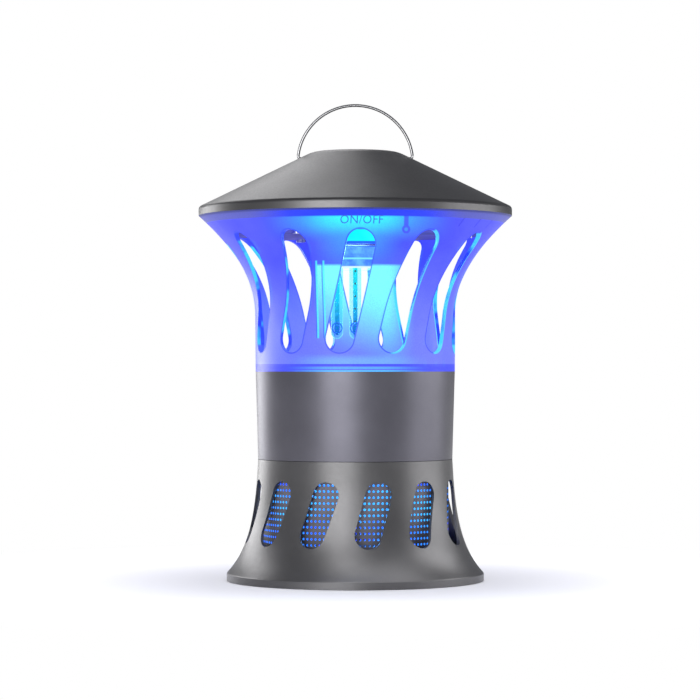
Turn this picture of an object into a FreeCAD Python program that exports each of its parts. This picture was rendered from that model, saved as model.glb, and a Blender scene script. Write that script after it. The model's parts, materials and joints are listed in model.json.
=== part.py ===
"""Hanging insect trap lantern: ultraviolet lamp, suction fan and twist-off catch base.

Millimetres, +Z up. The origin is on the surface that the trap stands on, under its centre.
The front, with the power button, faces -Y. A heading is an angle about Z measured from the
front towards +X, so a point at radius r and heading a is at (r sin a, -r cos a).
"""
import FreeCAD, Part
import math
import os
import Sketcher

Vector = FreeCAD.Vector

# Driving dimensions: alias, value in millimetres (angles in degrees), meaning.
DIMENSIONS = (
    ("lid_radius", 95.0, "outer radius of the lid rim"),
    ("rim_bottom", 220.5, "height of the lid's lower edge"),
    ("rim_top", 225.7, "height where the rim turns into the cone"),
    ("crown_radius", 25.8, "radius of the flat crown"),
    ("crown_top", 259.5, "height of the flat crown"),
    ("lid_wall", 2.4, "lid wall, measured level at the rim and upright on the cone"),
    ("rim_round", 2.4, "rounding of the rim's upper corner"),
    ("crown_round", 16.0, "rounding between the cone and the crown"),
    ("tray_bottom", 209.0, "underside of the lid tray"),
    ("tray_radius", 78.0, "radius of the tray floor"),
    ("tray_mouth", 88.6, "radius of the tray's upper wall"),
    ("tray_wall", 1.8, "tray wall"),
    ("tray_flange", 91.5, "radius of the tray's flange"),
    ("tray_rise", 11.0, "height of the tray's sloping wall, outside"),
    ("tray_rise_inside", 11.7, "height of the tray's sloping wall, inside"),
    ("tray_corner", 0.8, "how far the tray floor's inner edge lies inside its outer edge"),
    ("flange_bottom", 223.0, "underside of the tray's flange, on the shroud's spigot"),
    ("flange_thick", 1.6, "thickness of the tray's flange"),
    ("lid_screw_circle", 68.0, "radius of the circle of lid screws"),
    ("lid_boss_radius", 4.5, "radius of a screw boss under the lid"),
    ("lid_boss_height", 25.0, "height of a screw boss under the lid"),
    ("lid_pilot", 13.0, "depth of a screw hole in a lid boss"),
    ("lid_screw_radius", 1.5, "shank radius of a lid screw"),
    ("lid_screw_length", 14.0, "shank length of a lid screw"),
    ("lid_head_radius", 3.0, "head radius of a lid screw"),
    ("lid_head_height", 1.8, "head height of a lid screw"),
    ("lid_recess_radius", 1.2, "radius of the driver recess of a lid screw"),
    ("tab_width", 4.3, "width of a snap tab"),
    ("tab_thick", 0.9, "thickness of a snap tab"),
    ("tab_start", 3.0, "distance of a snap tab's lower end from the tray's corner"),
    ("tab_length", 8.0, "length of a snap tab"),
    ("catch_radius", 1.6, "radius of a snap tab's round catch"),
    ("catch_height", 0.5, "how far a round catch stands off its tab"),
    ("catch_place", 5.6, "distance of a round catch from the tray's corner"),
    ("tab_heading", 22.0, "heading of the first snap tab"),
    ("bail_axis", 255.5, "height of the bail's hinge line"),
    ("bail_centre", 252.8, "height of the centre of the bail's bow"),
    ("bail_bow", 34.95, "radius of the bail's bow, to the middle of the wire"),
    ("bail_wire", 0.88, "radius of the bail's wire"),
    ("bail_bend", 1.6, "radius of the bends at the bail's feet"),
    ("bail_reach", 20.5, "distance of the pin ends from the centre"),
    ("bail_running_fit", 0.05, "radial play of a bail pin in its pivot"),
    ("relief_radius", 3.0, "radius of the lid's relief round each foot of the bail"),
    ("relief_start", 32.7, "distance of the reliefs' inner ends from the centre"),
    ("relief_length", 8.0, "length of a relief"),
    ("bail_hole_fit", 0.25, "radial play of the bail's wire in the lid's holes"),
    ("pivot_near", 18.5, "distance of the pivot blocks' inner faces from the centre"),
    ("pivot_length", 6.5, "length of a pivot block along the hinge line"),
    ("pivot_width", 9.0, "width of a pivot block"),
    ("pivot_height", 6.1, "height of a pivot block"),
    ("pivot_bore", 6.0, "depth of the bore in a pivot block"),
    ("pivot_end_play", 0.3, "play at each end of the bail"),
    ("shroud_foot", 126.3, "height of the shroud's lower edge"),
    ("shroud_foot_radius", 60.4, "shroud radius at its lower edge"),
    ("shroud_waist", 160.0, "height where the shroud starts to flare"),
    ("shroud_waist_radius", 60.7, "shroud radius where it starts to flare"),
    ("shroud_mouth_radius", 94.9, "shroud radius under the lid"),
    ("shroud_wall", 2.2, "shroud wall in the straight part, measured level"),
    ("shroud_mouth_wall", 3.0, "shroud wall under the lid, measured level"),
    ("slot_count", 12, "slots round the shroud, and round the base"),
    ("shroud_slot_low", 145.75, "height of the centre of a shroud slot's lower end"),
    ("shroud_slot_high", 200.65, "height of the centre of a shroud slot's upper end"),
    ("shroud_slot_half", 8.25, "half width of a shroud slot"),
    ("shroud_slot_lean", 6.6, "how far each end of a shroud slot leans from its middle"),
    ("shroud_slot_heading", -2.6, "heading of the first shroud slot's middle"),
    ("band_foot", 73.5, "height of the middle band's lower edge"),
    ("band_foot_radius", 58.9, "band radius at its lower edge"),
    ("band_wall", 2.4, "band wall"),
    ("duct_inner", 46.5, "inner radius of the fan duct"),
    ("duct_wall", 2.0, "fan duct wall"),
    ("duct_bottom", 78.0, "underside of the fan duct"),
    ("duct_top", 127.0, "top of the fan duct"),
    ("duct_flange_thick", 2.0, "thickness of the duct's lower flange and of the collar's"),
    ("duct_top_flange", 2.5, "thickness of the duct's upper flange"),
    ("boss_radius", 3.0, "radius of a screw boss on the fan duct"),
    ("boss_height", 12.0, "height of a screw boss on the fan duct"),
    ("duct_flange", 55.2, "radius of the duct's two flanges"),
    ("seat_bottom", 84.0, "underside of the motor seat"),
    ("seat_thick", 2.5, "thickness of the motor seat"),
    ("strut_width", 6.0, "width of a strut between the duct and the motor seat"),
    ("strut_height", 4.0, "height of a strut"),
    ("motor_radius", 13.5, "outer radius of the motor can"),
    ("motor_height", 18.0, "height of the motor can"),
    ("motor_wall", 1.0, "motor can wall"),
    ("shaft_radius", 1.5, "motor shaft radius"),
    ("shaft_fit", 0.05, "radial play of the shaft in its bearings"),
    ("bearing_radius", 3.4, "outer radius of a motor bearing"),
    ("bearing_height", 2.5, "height of a motor bearing"),
    ("hub_radius", 12.0, "impeller hub radius"),
    ("hub_bottom", 106.0, "underside of the impeller hub"),
    ("hub_height", 14.0, "height of the impeller hub"),
    ("blade_tip", 44.5, "radius of the impeller at its blade tips"),
    ("blade_chord", 20.0, "chord of a blade"),
    ("blade_thick", 1.4, "thickness of a blade"),
    ("blade_pitch", 35.0, "angle of a blade from level"),
    ("blade_count", 7, "impeller blades"),
    ("guard_rim", 55.1, "outer radius of the fan guard"),
    ("guard_wire", 1.6, "width of a guard ring"),
    ("guard_height", 2.0, "height of the guard rings"),
    ("guard_rim_wide", 2.6, "width of the guard's rim"),
    ("guard_rim_height", 3.4, "height of the guard's rim"),
    ("guard_lug", 3.4, "radius of the guard's screw lugs"),
    ("screw_circle", 51.6, "radius of the circles of guard and collar screws"),
    ("screw_shank", 1.2, "shank radius of a guard or collar screw"),
    ("screw_head", 2.6, "head radius of a guard or collar screw"),
    ("screw_head_height", 1.6, "head height of a guard or collar screw"),
    ("screw_length", 9.0, "shank length of a guard or collar screw"),
    ("screw_fit", 0.02, "radial gap between a screw and its hole"),
    ("seat_fit", 0.3, "radial gap between a screw head and its seat"),
    ("collar_outer", 55.2, "outer radius of the bayonet collar"),
    ("collar_inner", 53.2, "inner radius of the bayonet collar"),
    ("collar_bottom", 64.5, "lower edge of the bayonet collar"),
    ("collar_flange", 56.2, "radius of the bayonet collar's flange"),
    ("lug_outer", 56.5, "radius of the collar's bayonet lugs"),
    ("lug_bottom", 65.4, "underside of the collar's bayonet lugs"),
    ("lug_height", 2.3, "height of the collar's bayonet lugs"),
    ("lug_play", 0.3, "upright play between the collar's lugs and the base's lugs"),
    ("base_lip", 77.9, "radius of the base's lip"),
    ("base_lip_height", 4.2, "height of the base's upright lip"),
    ("base_top", 73.2, "height of the base's upper edge"),
    ("base_top_radius", 58.9, "base radius at its upper edge"),
    ("base_wall", 1.9, "base wall"),
    ("base_slot_low", 30.4, "height of the centre of a base slot's lower end"),
    ("base_slot_high", 53.5, "height of the centre of a base slot's upper end"),
    ("base_slot_half", 7.9, "half width of a base slot"),
    ("base_slot_lean", 3.5, "how far each end of a base slot leans from its middle"),
    ("base_slot_heading", 9.75, "heading of the first base slot's middle"),
    ("basket_radius", 56.5, "outer radius of the catch basket"),
    ("basket_wall", 1.2, "catch basket wall"),
    ("basket_bottom", 3.2, "underside of the catch basket"),
    ("basket_top", 63.6, "upper edge of the catch basket"),
    ("plate_radius", 75.8, "radius of the base plate"),
    ("plate_bottom", 1.2, "underside of the base plate, on its rubber feet"),
    ("plate_thick", 2.0, "thickness of the base plate"),
    ("base_boss_radius", 3.6, "radius of a screw boss in the base"),
    ("base_boss_height", 20.0, "height of a screw boss in the base, before it meets the wall"),
    ("base_head_height", 1.0, "head height of a base screw"),
    ("base_screw_length", 6.0, "shank length of a base screw"),
    ("foot_radius", 6.0, "radius of a rubber foot"),
    ("foot_circle", 60.0, "radius of the circle of rubber feet"),
    ("base_screw_circle", 66.0, "radius of the circle of base screws"),
    ("lamp_holder_radius", 26.5, "outer radius of the lamp holder"),
    ("lamp_holder_bottom", 188.5, "lower edge of the lamp holder"),
    ("lamp_holder_shoulder", 203.4, "height of the lamp holder's shoulder"),
    ("lamp_holder_top", 1.4, "thickness of the lamp holder's top"),
    ("lamp_holder_chamfer", 2.0, "chamfer of the lamp holder's shoulder"),
    ("lamp_base_gap", 0.3, "gap between the lamp's base and its holder"),
    ("lamp_neck_radius", 21.0, "radius of the lamp holder above its shoulder"),
    ("lamp_base_radius", 23.0, "radius of the lamp's own base"),
    ("tube_radius", 3.6, "radius of a lamp tube"),
    ("tube_bend", 6.5, "radius of a lamp tube's bend, to its middle"),
    ("tube_bottom", 146.0, "lowest point of the lamp tubes"),
    ("tube_spacing", 11.0, "distance between the lamp's U tubes"),
    ("button_x", 4.0, "sideways place of the power button"),
    ("button_width", 22.0, "width of the button cap"),
    ("button_height", 8.0, "height of the button cap"),
    ("button_depth", 8.0, "depth of the button cap"),
    ("button_face", 70.0, "distance of the button's face from the centre"),
    ("button_bottom", 200.9, "underside of the button cap"),
    ("button_travel", 1.5, "travel of the button"),
    ("button_round", 1.2, "rounding of the button's front edges"),
    ("stem_width", 8.0, "width of the button's stem"),
    ("stem_depth", 7.0, "depth of the button's stem"),
    ("stem_height", 4.0, "height of the button's stem"),
    ("stem_front", 62.5, "distance of the stem's front from the centre"),
    ("stem_bottom", 202.7, "underside of the button's stem"),
    ("switch_width", 18.0, "width of the switch body"),
    ("switch_depth", 14.0, "depth of the switch body"),
    ("switch_bottom", 200.5, "underside of the switch body"),
    ("switch_front", 60.0, "distance of the switch body's front from the centre"),
    ("cavity_width", 9.0, "width of the cavity for the stem"),
    ("cavity_depth", 7.0, "depth of the cavity for the stem"),
    ("cavity_height", 4.8, "height of the cavity for the stem"),
    ("cavity_bottom", 202.3, "floor of the cavity for the stem"),
    ("lead_radius", 0.8, "radius of an internal lead"),
    ("inlet_length", 9.0, "length of the inlet's barrel"),
    ("inlet_start", 50.0, "distance of the inlet's inner end from the centre"),
    ("inlet_flange_start", 58.6, "distance of the inlet's flange from the centre"),
    ("inlet_flange_radius", 6.0, "radius of the inlet's flange"),
    ("inlet_flange_thick", 1.8, "thickness of the inlet's flange"),
    ("inlet_bore", 2.8, "bore radius of the inlet"),
    ("inlet_bore_start", 52.5, "distance of the inlet bore's floor from the centre"),
    ("inlet_pin_radius", 0.9, "radius of the inlet's centre pin"),
    ("inlet_pin_length", 6.5, "length of the inlet's centre pin"),
    ("inlet_height", 95.0, "height of the power inlet, on the rear of the band"),
    ("inlet_radius", 4.4, "body radius of the power inlet"),
    ("board_length", 84.0, "length of the circuit board"),
    ("board_width", 52.0, "width of the circuit board"),
    ("board_bottom", 214.0, "underside of the circuit board"),
    ("board_thick", 1.6, "thickness of the circuit board"),
)

doc = FreeCAD.newDocument("insect_trap")
sheet = doc.addObject("Spreadsheet::Sheet", "size")
for row, (alias, number, meaning) in enumerate(DIMENSIONS, start=1):
    sheet.set(f"A{row}", alias)
    sheet.set(f"B{row}", str(number))
    sheet.set(f"C{row}", meaning)
    sheet.setAlias(f"B{row}", alias)
doc.recompute()

NODES = []


def value(text):
    """The number that an expression of sheet cells stands for."""
    return float(sheet.evalExpression(str(text)))


def size(alias):
    """The number in one sheet cell."""
    return value("size." + alias)


def at(radius, heading, height):
    """The point at a radius, heading and height."""
    angle = math.radians(heading)
    return Vector(radius * math.sin(angle), -radius * math.cos(angle), height)


def node(piece, label):
    """Name a finished sub-part, which is written to its own file."""
    piece.Label = label
    NODES.append(piece)
    return piece


# --------------------------------------------------------------------------- building blocks

def primitive(kind, label, place, axis=Vector(0, 0, 1), turn=0.0, **sizes):
    """A Part primitive whose sizes and place are expressions of sheet cells."""
    piece = placed(kind, label, Vector(), FreeCAD.Rotation(axis, turn), **sizes)
    for name, text in zip("xyz", place):
        piece.setExpression("Placement.Base." + name, text)
    return piece


def placed(kind, label, base, rotation, **sizes):
    """A Part primitive whose sizes are expressions, at a place worked out in code."""
    piece = doc.addObject(kind, label)
    for name, text in sizes.items():
        piece.setExpression(name, text)
    piece.Placement = FreeCAD.Placement(base, rotation)
    return piece


def cylinder(label, radius, height, place, axis=Vector(0, 0, 1), turn=0.0):
    """A cylinder standing on its place, or lying along another axis when turned."""
    return primitive("Part::Cylinder", label, place, axis, turn, Radius=radius, Height=height)


def box(label, length, width, height, place):
    """A box that starts at its place."""
    return primitive("Part::Box", label, place, Length=length, Width=width, Height=height)


def polar(radius, heading, height):
    """Placement expressions for a radius, heading and height."""
    return (f"{radius} * sin({heading} deg)", f"-({radius}) * cos({heading} deg)", height)


def fuse(label, pieces):
    """One solid from several."""
    joined = doc.addObject("Part::MultiFuse", label)
    joined.Shapes = pieces
    joined.Refine = False
    return joined


def group(label, pieces):
    """Several separate solids in one sub-part."""
    together = doc.addObject("Part::Compound", label)
    together.Links = pieces
    return together


def cut(label, base, tool):
    """One piece less another."""
    left = doc.addObject("Part::Cut", label)
    left.Base = base
    left.Tool = tool
    return left


def pin_corner(sketch, line, kind, axis, text):
    """Hold one coordinate of a line's start, at a sheet expression or on a sketch axis."""
    number = value(text)
    if abs(number) < 1e-9:
        sketch.addConstraint(Sketcher.Constraint("PointOnObject", line, 1, axis))
        return
    index = sketch.addConstraint(Sketcher.Constraint(kind, -1, 1, line, 1, number))
    sketch.setExpression(f"Constraints[{index}]", text)


def turned(label, corners):
    """A Body turned about Z from (radius, height) corners given as expressions."""
    body = doc.addObject("PartDesign::Body", label)
    sketch = body.newObject("Sketcher::SketchObject", label + "_profile")
    plane = [item for item in body.Origin.OriginFeatures if item.Role == "XZ_Plane"][0]
    sketch.AttachmentSupport = [(plane, "")]
    sketch.MapMode = "FlatFace"
    points = [Vector(value(radius), value(height), 0) for radius, height in corners]
    count = len(points)
    for line in range(count):
        sketch.addGeometry(Part.LineSegment(points[line], points[(line + 1) % count]), False)
    for line in range(count):
        following = (line + 1) % count
        sketch.addConstraint(Sketcher.Constraint("Coincident", line, 2, following, 1))
    for line, (radius, height) in enumerate(corners):
        pin_corner(sketch, line, "DistanceX", -2, radius)
        pin_corner(sketch, line, "DistanceY", -1, height)
    turn = body.newObject("PartDesign::Revolution", label + "_turn")
    turn.Profile = sketch
    turn.ReferenceAxis = (sketch, ["V_Axis"])
    turn.Angle = 360
    body.Tip = turn
    doc.recompute()
    return body


def round_edge(body, label, radius, height, rounding):
    """Round the circular edge of a turned Body that has this radius and height."""
    names = []
    before = body.Tip
    for index, edge in enumerate(before.Shape.Edges, start=1):
        circle = isinstance(edge.Curve, Part.Circle)
        if circle and abs(edge.Curve.Radius - radius) < 1e-4:
            if abs(edge.Curve.Center.z - height) < 1e-4:
                names.append(f"Edge{index}")
    fillet = body.newObject("PartDesign::Fillet", label)
    fillet.Base = (before, names)
    fillet.setExpression("Radius", rounding)
    body.Tip = fillet
    doc.recompute()


def ring(label, inner, outer, bottom, height):
    """A plain ring, turned from its rectangular section."""
    top = f"{bottom} + {height}"
    return turned(label, ((inner, bottom), (outer, bottom), (outer, top), (inner, top)))


def shaped(label, shape):
    """A sub-part or blank whose shape is made by Part's own functions."""
    piece = doc.addObject("Part::Feature", label)
    piece.Shape = shape
    return piece


def revolved(edges):
    """The solid turned about Z from a closed run of edges in the XZ plane."""
    face = Part.Face(Part.Wire(edges))
    return face.revolve(Vector(0, 0, 0), Vector(0, 0, 1), 360)


def bezier(points):
    """A Bezier edge in the XZ plane through (radius, height) control points."""
    curve = Part.BezierCurve()
    curve.setPoles([Vector(radius, 0, height) for radius, height in points])
    return curve.toShape()


def straight(points):
    """Straight edges in the XZ plane through (radius, height) points."""
    places = [Vector(radius, 0, height) for radius, height in points]
    return [Part.LineSegment(a, b).toShape() for a, b in zip(places, places[1:])]


def slot_bar(low, high, lean, half, near, far, heading):
    """A round-ended bar that cuts one leaning slot through a wall at a heading."""
    foot = Vector(-lean, -near, low)
    head = Vector(lean, -near, high)
    along = (head - foot).normalize()
    across = Vector(along.z, 0, -along.x)
    right_foot = foot + across * half
    right_head = head + across * half
    left_foot = foot - across * half
    left_head = head - across * half
    edges = [
        Part.LineSegment(right_foot, right_head).toShape(),
        Part.Arc(right_head, head + along * half, left_head).toShape(),
        Part.LineSegment(left_head, left_foot).toShape(),
        Part.Arc(left_foot, foot - along * half, right_foot).toShape(),
    ]
    bar = Part.Face(Part.Wire(edges)).extrude(Vector(0, near - far, 0))
    bar.rotate(Vector(0, 0, 0), Vector(0, 0, 1), heading)
    return bar


def slotted(wall, low, high, lean, half, near, far, first_heading):
    """The wall with its ring of leaning slots cut through."""
    count = int(size("slot_count"))
    for index in range(count):
        heading = first_heading + index * 360.0 / count
        wall = wall.cut(slot_bar(low, high, lean, half, near, far, heading))
    return wall


def block_at(heading, near, far, width, bottom, top):
    """A block at a heading, from a near radius to a far one."""
    block = Part.makeBox(width, far - near, top - bottom, Vector(-width / 2, -far, bottom))
    block.rotate(Vector(0, 0, 0), Vector(0, 0, 1), heading)
    return block


def sector(heading, half_angle, inner, outer, bottom, height):
    """A ring sector centred on a heading."""
    face = Part.Face(Part.Wire(straight((
        (inner, bottom), (outer, bottom), (outer, bottom + height),
        (inner, bottom + height), (inner, bottom)))))
    solid = face.revolve(Vector(0, 0, 0), Vector(0, 0, 1), 2 * half_angle)
    # The section lies on +X, which is heading 90.
    solid.rotate(Vector(0, 0, 0), Vector(0, 0, 1), heading - 90 - half_angle)
    return solid


def routed_tube(points, radius):
    """A tube along straight runs joined by tangent arcs as large as the runs allow."""
    edges = []
    start = points[0]
    for before, corner, after in zip(points, points[1:], points[2:]):
        run_in = corner - before
        run_out = after - corner
        reach = 0.45 * min(run_in.Length, run_out.Length)
        half_turn = run_in.getAngle(run_out) / 2
        run_in.normalize()
        run_out.normalize()
        arc_start = corner - run_in * reach
        arc_end = corner + run_out * reach
        bend = reach / math.tan(half_turn)
        inward = (run_out - run_in).normalize()
        middle = corner + inward * (bend / math.cos(half_turn) - bend)
        edges.append(Part.LineSegment(start, arc_start).toShape())
        edges.append(Part.Arc(arc_start, middle, arc_end).toShape())
        start = arc_end
    edges.append(Part.LineSegment(start, points[-1]).toShape())
    path = Part.Wire(edges)
    section = Part.Wire([Part.Circle(points[0], points[1] - points[0], radius).toShape()])
    tube = path.makePipeShell([section], True, False)
    expected = math.pi * radius * radius * path.Length
    if abs(tube.Volume - expected) > 0.02 * expected:
        raise RuntimeError("a lead's volume does not match its length")
    return tube


# --------------------------------------------------------------------------- lid and tray

THIRDS = (0, 120, 240)
LID_SCREW_START = 90


def make_lid_cover():
    """The conical lid, with bosses for its screws and holes for the bail's pins."""
    cone = turned("lid_shell", (
        ("0", "size.crown_top"),
        ("size.crown_radius", "size.crown_top"),
        ("size.lid_radius", "size.rim_top"),
        ("size.lid_radius", "size.rim_bottom"),
        ("size.lid_radius - size.lid_wall", "size.rim_bottom"),
        ("size.lid_radius - size.lid_wall", "size.rim_top - size.lid_wall / 2"),
        ("size.crown_radius", "size.crown_top - size.lid_wall"),
        ("0", "size.crown_top - size.lid_wall")))
    round_edge(cone, "crown_blend", size("crown_radius"), size("crown_top"), "size.crown_round")
    round_edge(cone, "rim_blend", size("lid_radius"), size("rim_top"), "size.rim_round")
    pieces = [cone]
    for turn in THIRDS:
        place = polar("size.lid_screw_circle", LID_SCREW_START + turn,
                      "size.tray_bottom + size.tray_wall")
        pieces.append(cylinder(f"lid_boss_{turn}", "size.lid_boss_radius", "size.lid_boss_height",
                               place))
    whole = fuse("lid_with_bosses", pieces)
    holes = []
    for turn in THIRDS:
        place = polar("size.lid_screw_circle", LID_SCREW_START + turn,
                      "size.tray_bottom + size.tray_wall")
        holes.append(cylinder(f"lid_pilot_{turn}", "size.lid_screw_radius", "size.lid_pilot", place))
    across = Vector(0, 1, 0)
    holes.append(cylinder("bail_hole", "size.bail_wire + size.bail_hole_fit",
                          "2 * size.lid_radius",
                          ("-size.lid_radius", "0", "size.bail_axis"), across, 90))
    for side in (-1, 1):
        holes.append(cylinder(f"bail_relief_{side + 1}", "size.relief_radius",
                              "size.relief_length", (f"{side} * size.relief_start", "0", "size.bail_axis"),
                              across, 90 * side))
    node(cut("lid_cover_cut", whole, group("lid_holes", holes)), "lid_cover")


def make_bail_pivots():
    """Two blocks under the crown with blind bores for the bail's pins."""
    pivots = []
    for side in (-1, 1):
        start = "size.pivot_near" if side > 0 else "-size.pivot_near - size.pivot_length"
        block = box(f"pivot_block_{side + 1}", "size.pivot_length", "size.pivot_width",
                    "size.pivot_height",
                    (start, "-size.pivot_width / 2",
                     "size.crown_top - size.lid_wall - size.pivot_height"))
        bore = cylinder(f"pivot_bore_{side + 1}", "size.bail_wire + size.bail_running_fit",
                        "size.pivot_bore",
                        (f"{side} * (size.bail_reach - size.pivot_end_play)", "0",
                         "size.bail_axis"),
                        Vector(0, 1, 0), 90 * side)
        pivots.append(cut(f"pivot_{side + 1}", block, bore))
    node(group("bail_pivots_group", pivots), "bail_pivots")


def make_lid_tray():
    """The tray that closes the lid from below and carries lamp, board and switch."""
    tray = turned("tray_shell", (
        ("0", "size.tray_bottom"),
        ("size.tray_radius", "size.tray_bottom"),
        ("size.tray_mouth", "size.tray_bottom + size.tray_rise"),
        ("size.tray_mouth", "size.flange_bottom"),
        ("size.tray_flange", "size.flange_bottom"),
        ("size.tray_flange", "size.flange_bottom + size.flange_thick"),
        ("size.tray_mouth - size.tray_wall", "size.flange_bottom + size.flange_thick"),
        ("size.tray_mouth - size.tray_wall", "size.tray_bottom + size.tray_rise_inside"),
        ("size.tray_radius - size.tray_corner", "size.tray_bottom + size.tray_wall"),
        ("0", "size.tray_bottom + size.tray_wall")))
    holes = []
    for turn in THIRDS:
        place = polar("size.lid_screw_circle", LID_SCREW_START + turn, "size.tray_bottom - 1")
        holes.append(cylinder(f"tray_hole_{turn}", "size.lid_screw_radius", "4", place))
    for index, heading in enumerate(LEAD_HEADINGS):
        place = polar(str(LEAD_TOP_RADIUS), heading, "size.tray_bottom - 1")
        holes.append(cylinder(f"lead_hole_{index}", "size.lead_radius + 0.1", "4", place))
    node(cut("lid_tray_cut", tray, group("tray_holes", holes)), "lid_tray")


def make_lid_screws():
    """Three pan-head screws up through the tray into the lid's bosses."""
    screws = []
    for turn in THIRDS:
        heading = LID_SCREW_START + turn
        shank = cylinder(f"lid_shank_{turn}", "size.lid_screw_radius - size.screw_fit",
                         "size.lid_screw_length",
                         polar("size.lid_screw_circle", heading, "size.tray_bottom"))
        head = cylinder(f"lid_head_{turn}", "size.lid_head_radius", "size.lid_head_height",
                        polar("size.lid_screw_circle", heading,
                              "size.tray_bottom - size.lid_head_height"))
        recess = cylinder(f"lid_recess_{turn}", "size.lid_recess_radius", "1",
                          polar("size.lid_screw_circle", heading,
                                "size.tray_bottom - size.lid_head_height - 0.2"))
        screws.append(cut(f"lid_screw_{turn}", fuse(f"lid_screw_blank_{turn}", [shank, head]),
                          recess))
    node(group("lid_screws_group", screws), "lid_screws")


def make_latch_tabs():
    """Three snap tabs with round catches, flat against the tray's sloping wall."""
    run = Vector(size("tray_mouth") - size("tray_radius"), 0, size("tray_rise"))
    slope = math.degrees(math.atan2(run.x, run.z))
    solids = []
    for turn in THIRDS:
        tab = Part.makeBox(size("tab_width"), size("tab_thick"), size("tab_length"),
                           Vector(-size("tab_width") / 2, -size("tab_thick"), size("tab_start")))
        catch = Part.makeCylinder(size("catch_radius"), size("catch_height"),
                                  Vector(0, -size("tab_thick"), size("catch_place")),
                                  Vector(0, -1, 0))
        whole = tab.fuse(catch)
        whole.rotate(Vector(0, 0, 0), Vector(1, 0, 0), slope)
        whole.translate(Vector(0, -size("tray_radius"), size("tray_bottom")))
        whole.rotate(Vector(0, 0, 0), Vector(0, 0, 1), size("tab_heading") + turn)
        solids.append(whole)
    node(shaped("latch_tabs_shape", Part.makeCompound(solids)), "latch_tabs")


def make_bail_handle():
    """The wire bail: a bow whose feet bend inwards into two pins on one line."""
    axis = size("bail_axis")
    bow = size("bail_bow")
    bend = size("bail_bend")
    centre = size("bail_centre")
    bend_height = axis + bend
    bend_x = math.sqrt((bow - bend) ** 2 - (bend_height - centre) ** 2)
    outward = Vector(bend_x, 0, bend_height - centre).normalize()
    joint = Vector(bend_x, 0, bend_height) + outward * bend
    diagonal = (Vector(0, 0, -1) + outward).normalize()
    middle = Vector(bend_x, 0, bend_height) + diagonal * bend

    def mirrored(point):
        return Vector(-point.x, point.y, point.z)

    foot = Vector(bend_x, 0, axis)
    end = Vector(size("bail_reach"), 0, axis)
    edges = [
        Part.LineSegment(end, foot).toShape(),
        Part.Arc(foot, middle, joint).toShape(),
        Part.Arc(joint, Vector(0, 0, centre + bow), mirrored(joint)).toShape(),
        Part.Arc(mirrored(joint), mirrored(middle), mirrored(foot)).toShape(),
        Part.LineSegment(mirrored(foot), mirrored(end)).toShape(),
    ]
    section = Part.Wire([Part.Circle(end, Vector(1, 0, 0), size("bail_wire")).toShape()])
    wire = Part.Wire(edges).makePipeShell([section], True, False)
    node(shaped("bail_shape", wire), "bail_handle")


# --------------------------------------------------------------------------- electronics

def make_electronics():
    """The circuit board on its standoffs, with transformer, coil and capacitors."""
    board_top = "size.board_bottom + size.board_thick"
    board = box("board", "size.board_length", "size.board_width", "size.board_thick",
                ("-size.board_length / 2", "-size.board_width / 2", "size.board_bottom"))
    node(board, "circuit_board")
    standoffs = []
    for index, (side_x, side_y) in enumerate(((-1, -1), (1, -1), (1, 1), (-1, 1))):
        place = (f"{side_x} * (size.board_length / 2 - 5)",
                 f"{side_y} * (size.board_width / 2 - 5)", "size.tray_bottom + size.tray_wall")
        standoffs.append(cylinder(
            f"standoff_{index}", "3",
            "size.board_bottom - size.tray_bottom - size.tray_wall", place))
    node(group("standoffs_group", standoffs), "board_standoffs")
    core = box("core", "26", "22", "18", ("-32", "-11", board_top))
    window = box("core_window", "14", "30", "10", ("-26", "-15", f"{board_top} + 4"))
    node(cut("core_cut", core, window), "transformer_core")
    node(box("coil", "13.6", "28", "9.6", ("-25.8", "-14", f"{board_top} + 4.2")),
         "transformer_coil")
    cans = [cylinder("can_0", "5", "16", ("12", "-8", board_top)),
            cylinder("can_1", "5", "16", ("12", "8", board_top)),
            cylinder("can_2", "3.2", "10", ("26", "-12", board_top))]
    node(group("cans_group", cans), "board_capacitors")
    node(box("relay", "10", "14", "11", ("24", "2", board_top)), "lamp_relay")


def make_switch():
    """The switch body under the tray, with a cavity for the button's stem."""
    shell = box("switch_shell", "size.switch_width", "size.switch_depth",
                "size.tray_bottom - size.switch_bottom",
                ("size.button_x - size.switch_width / 2", "-size.switch_front",
                 "size.switch_bottom"))
    cavity = box("switch_cavity", "size.cavity_width", "size.cavity_depth + 1",
                 "size.cavity_height",
                 ("size.button_x - size.cavity_width / 2", "-size.switch_front - 1",
                  "size.cavity_bottom"))
    node(cut("switch_cut", shell, cavity), "switch_body")


def make_button():
    """The power button: a wide rounded cap with a stem that slides in the switch."""
    cap = box("button_cap_box", "size.button_width", "size.button_depth", "size.button_height",
              ("size.button_x - size.button_width / 2", "-size.button_face",
               "size.button_bottom"))
    doc.recompute()
    rounded = doc.addObject("Part::Fillet", "button_cap")
    rounded.Base = cap
    edges = []
    rounding = size("button_round")
    for index, edge in enumerate(cap.Shape.Edges, start=1):
        level = abs(edge.tangentAt(edge.FirstParameter).y) < 0.5
        front = abs(edge.CenterOfMass.y + size("button_face")) < 1e-6
        if front or not level:
            edges.append((index, rounding, rounding))
    rounded.Edges = edges
    stem = box("button_stem", "size.stem_width", "size.stem_depth", "size.stem_height",
               ("size.button_x - size.stem_width / 2", "-size.stem_front", "size.stem_bottom"))
    node(fuse("button_whole", [rounded, stem]), "power_button")


# --------------------------------------------------------------------------- lamp

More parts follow.
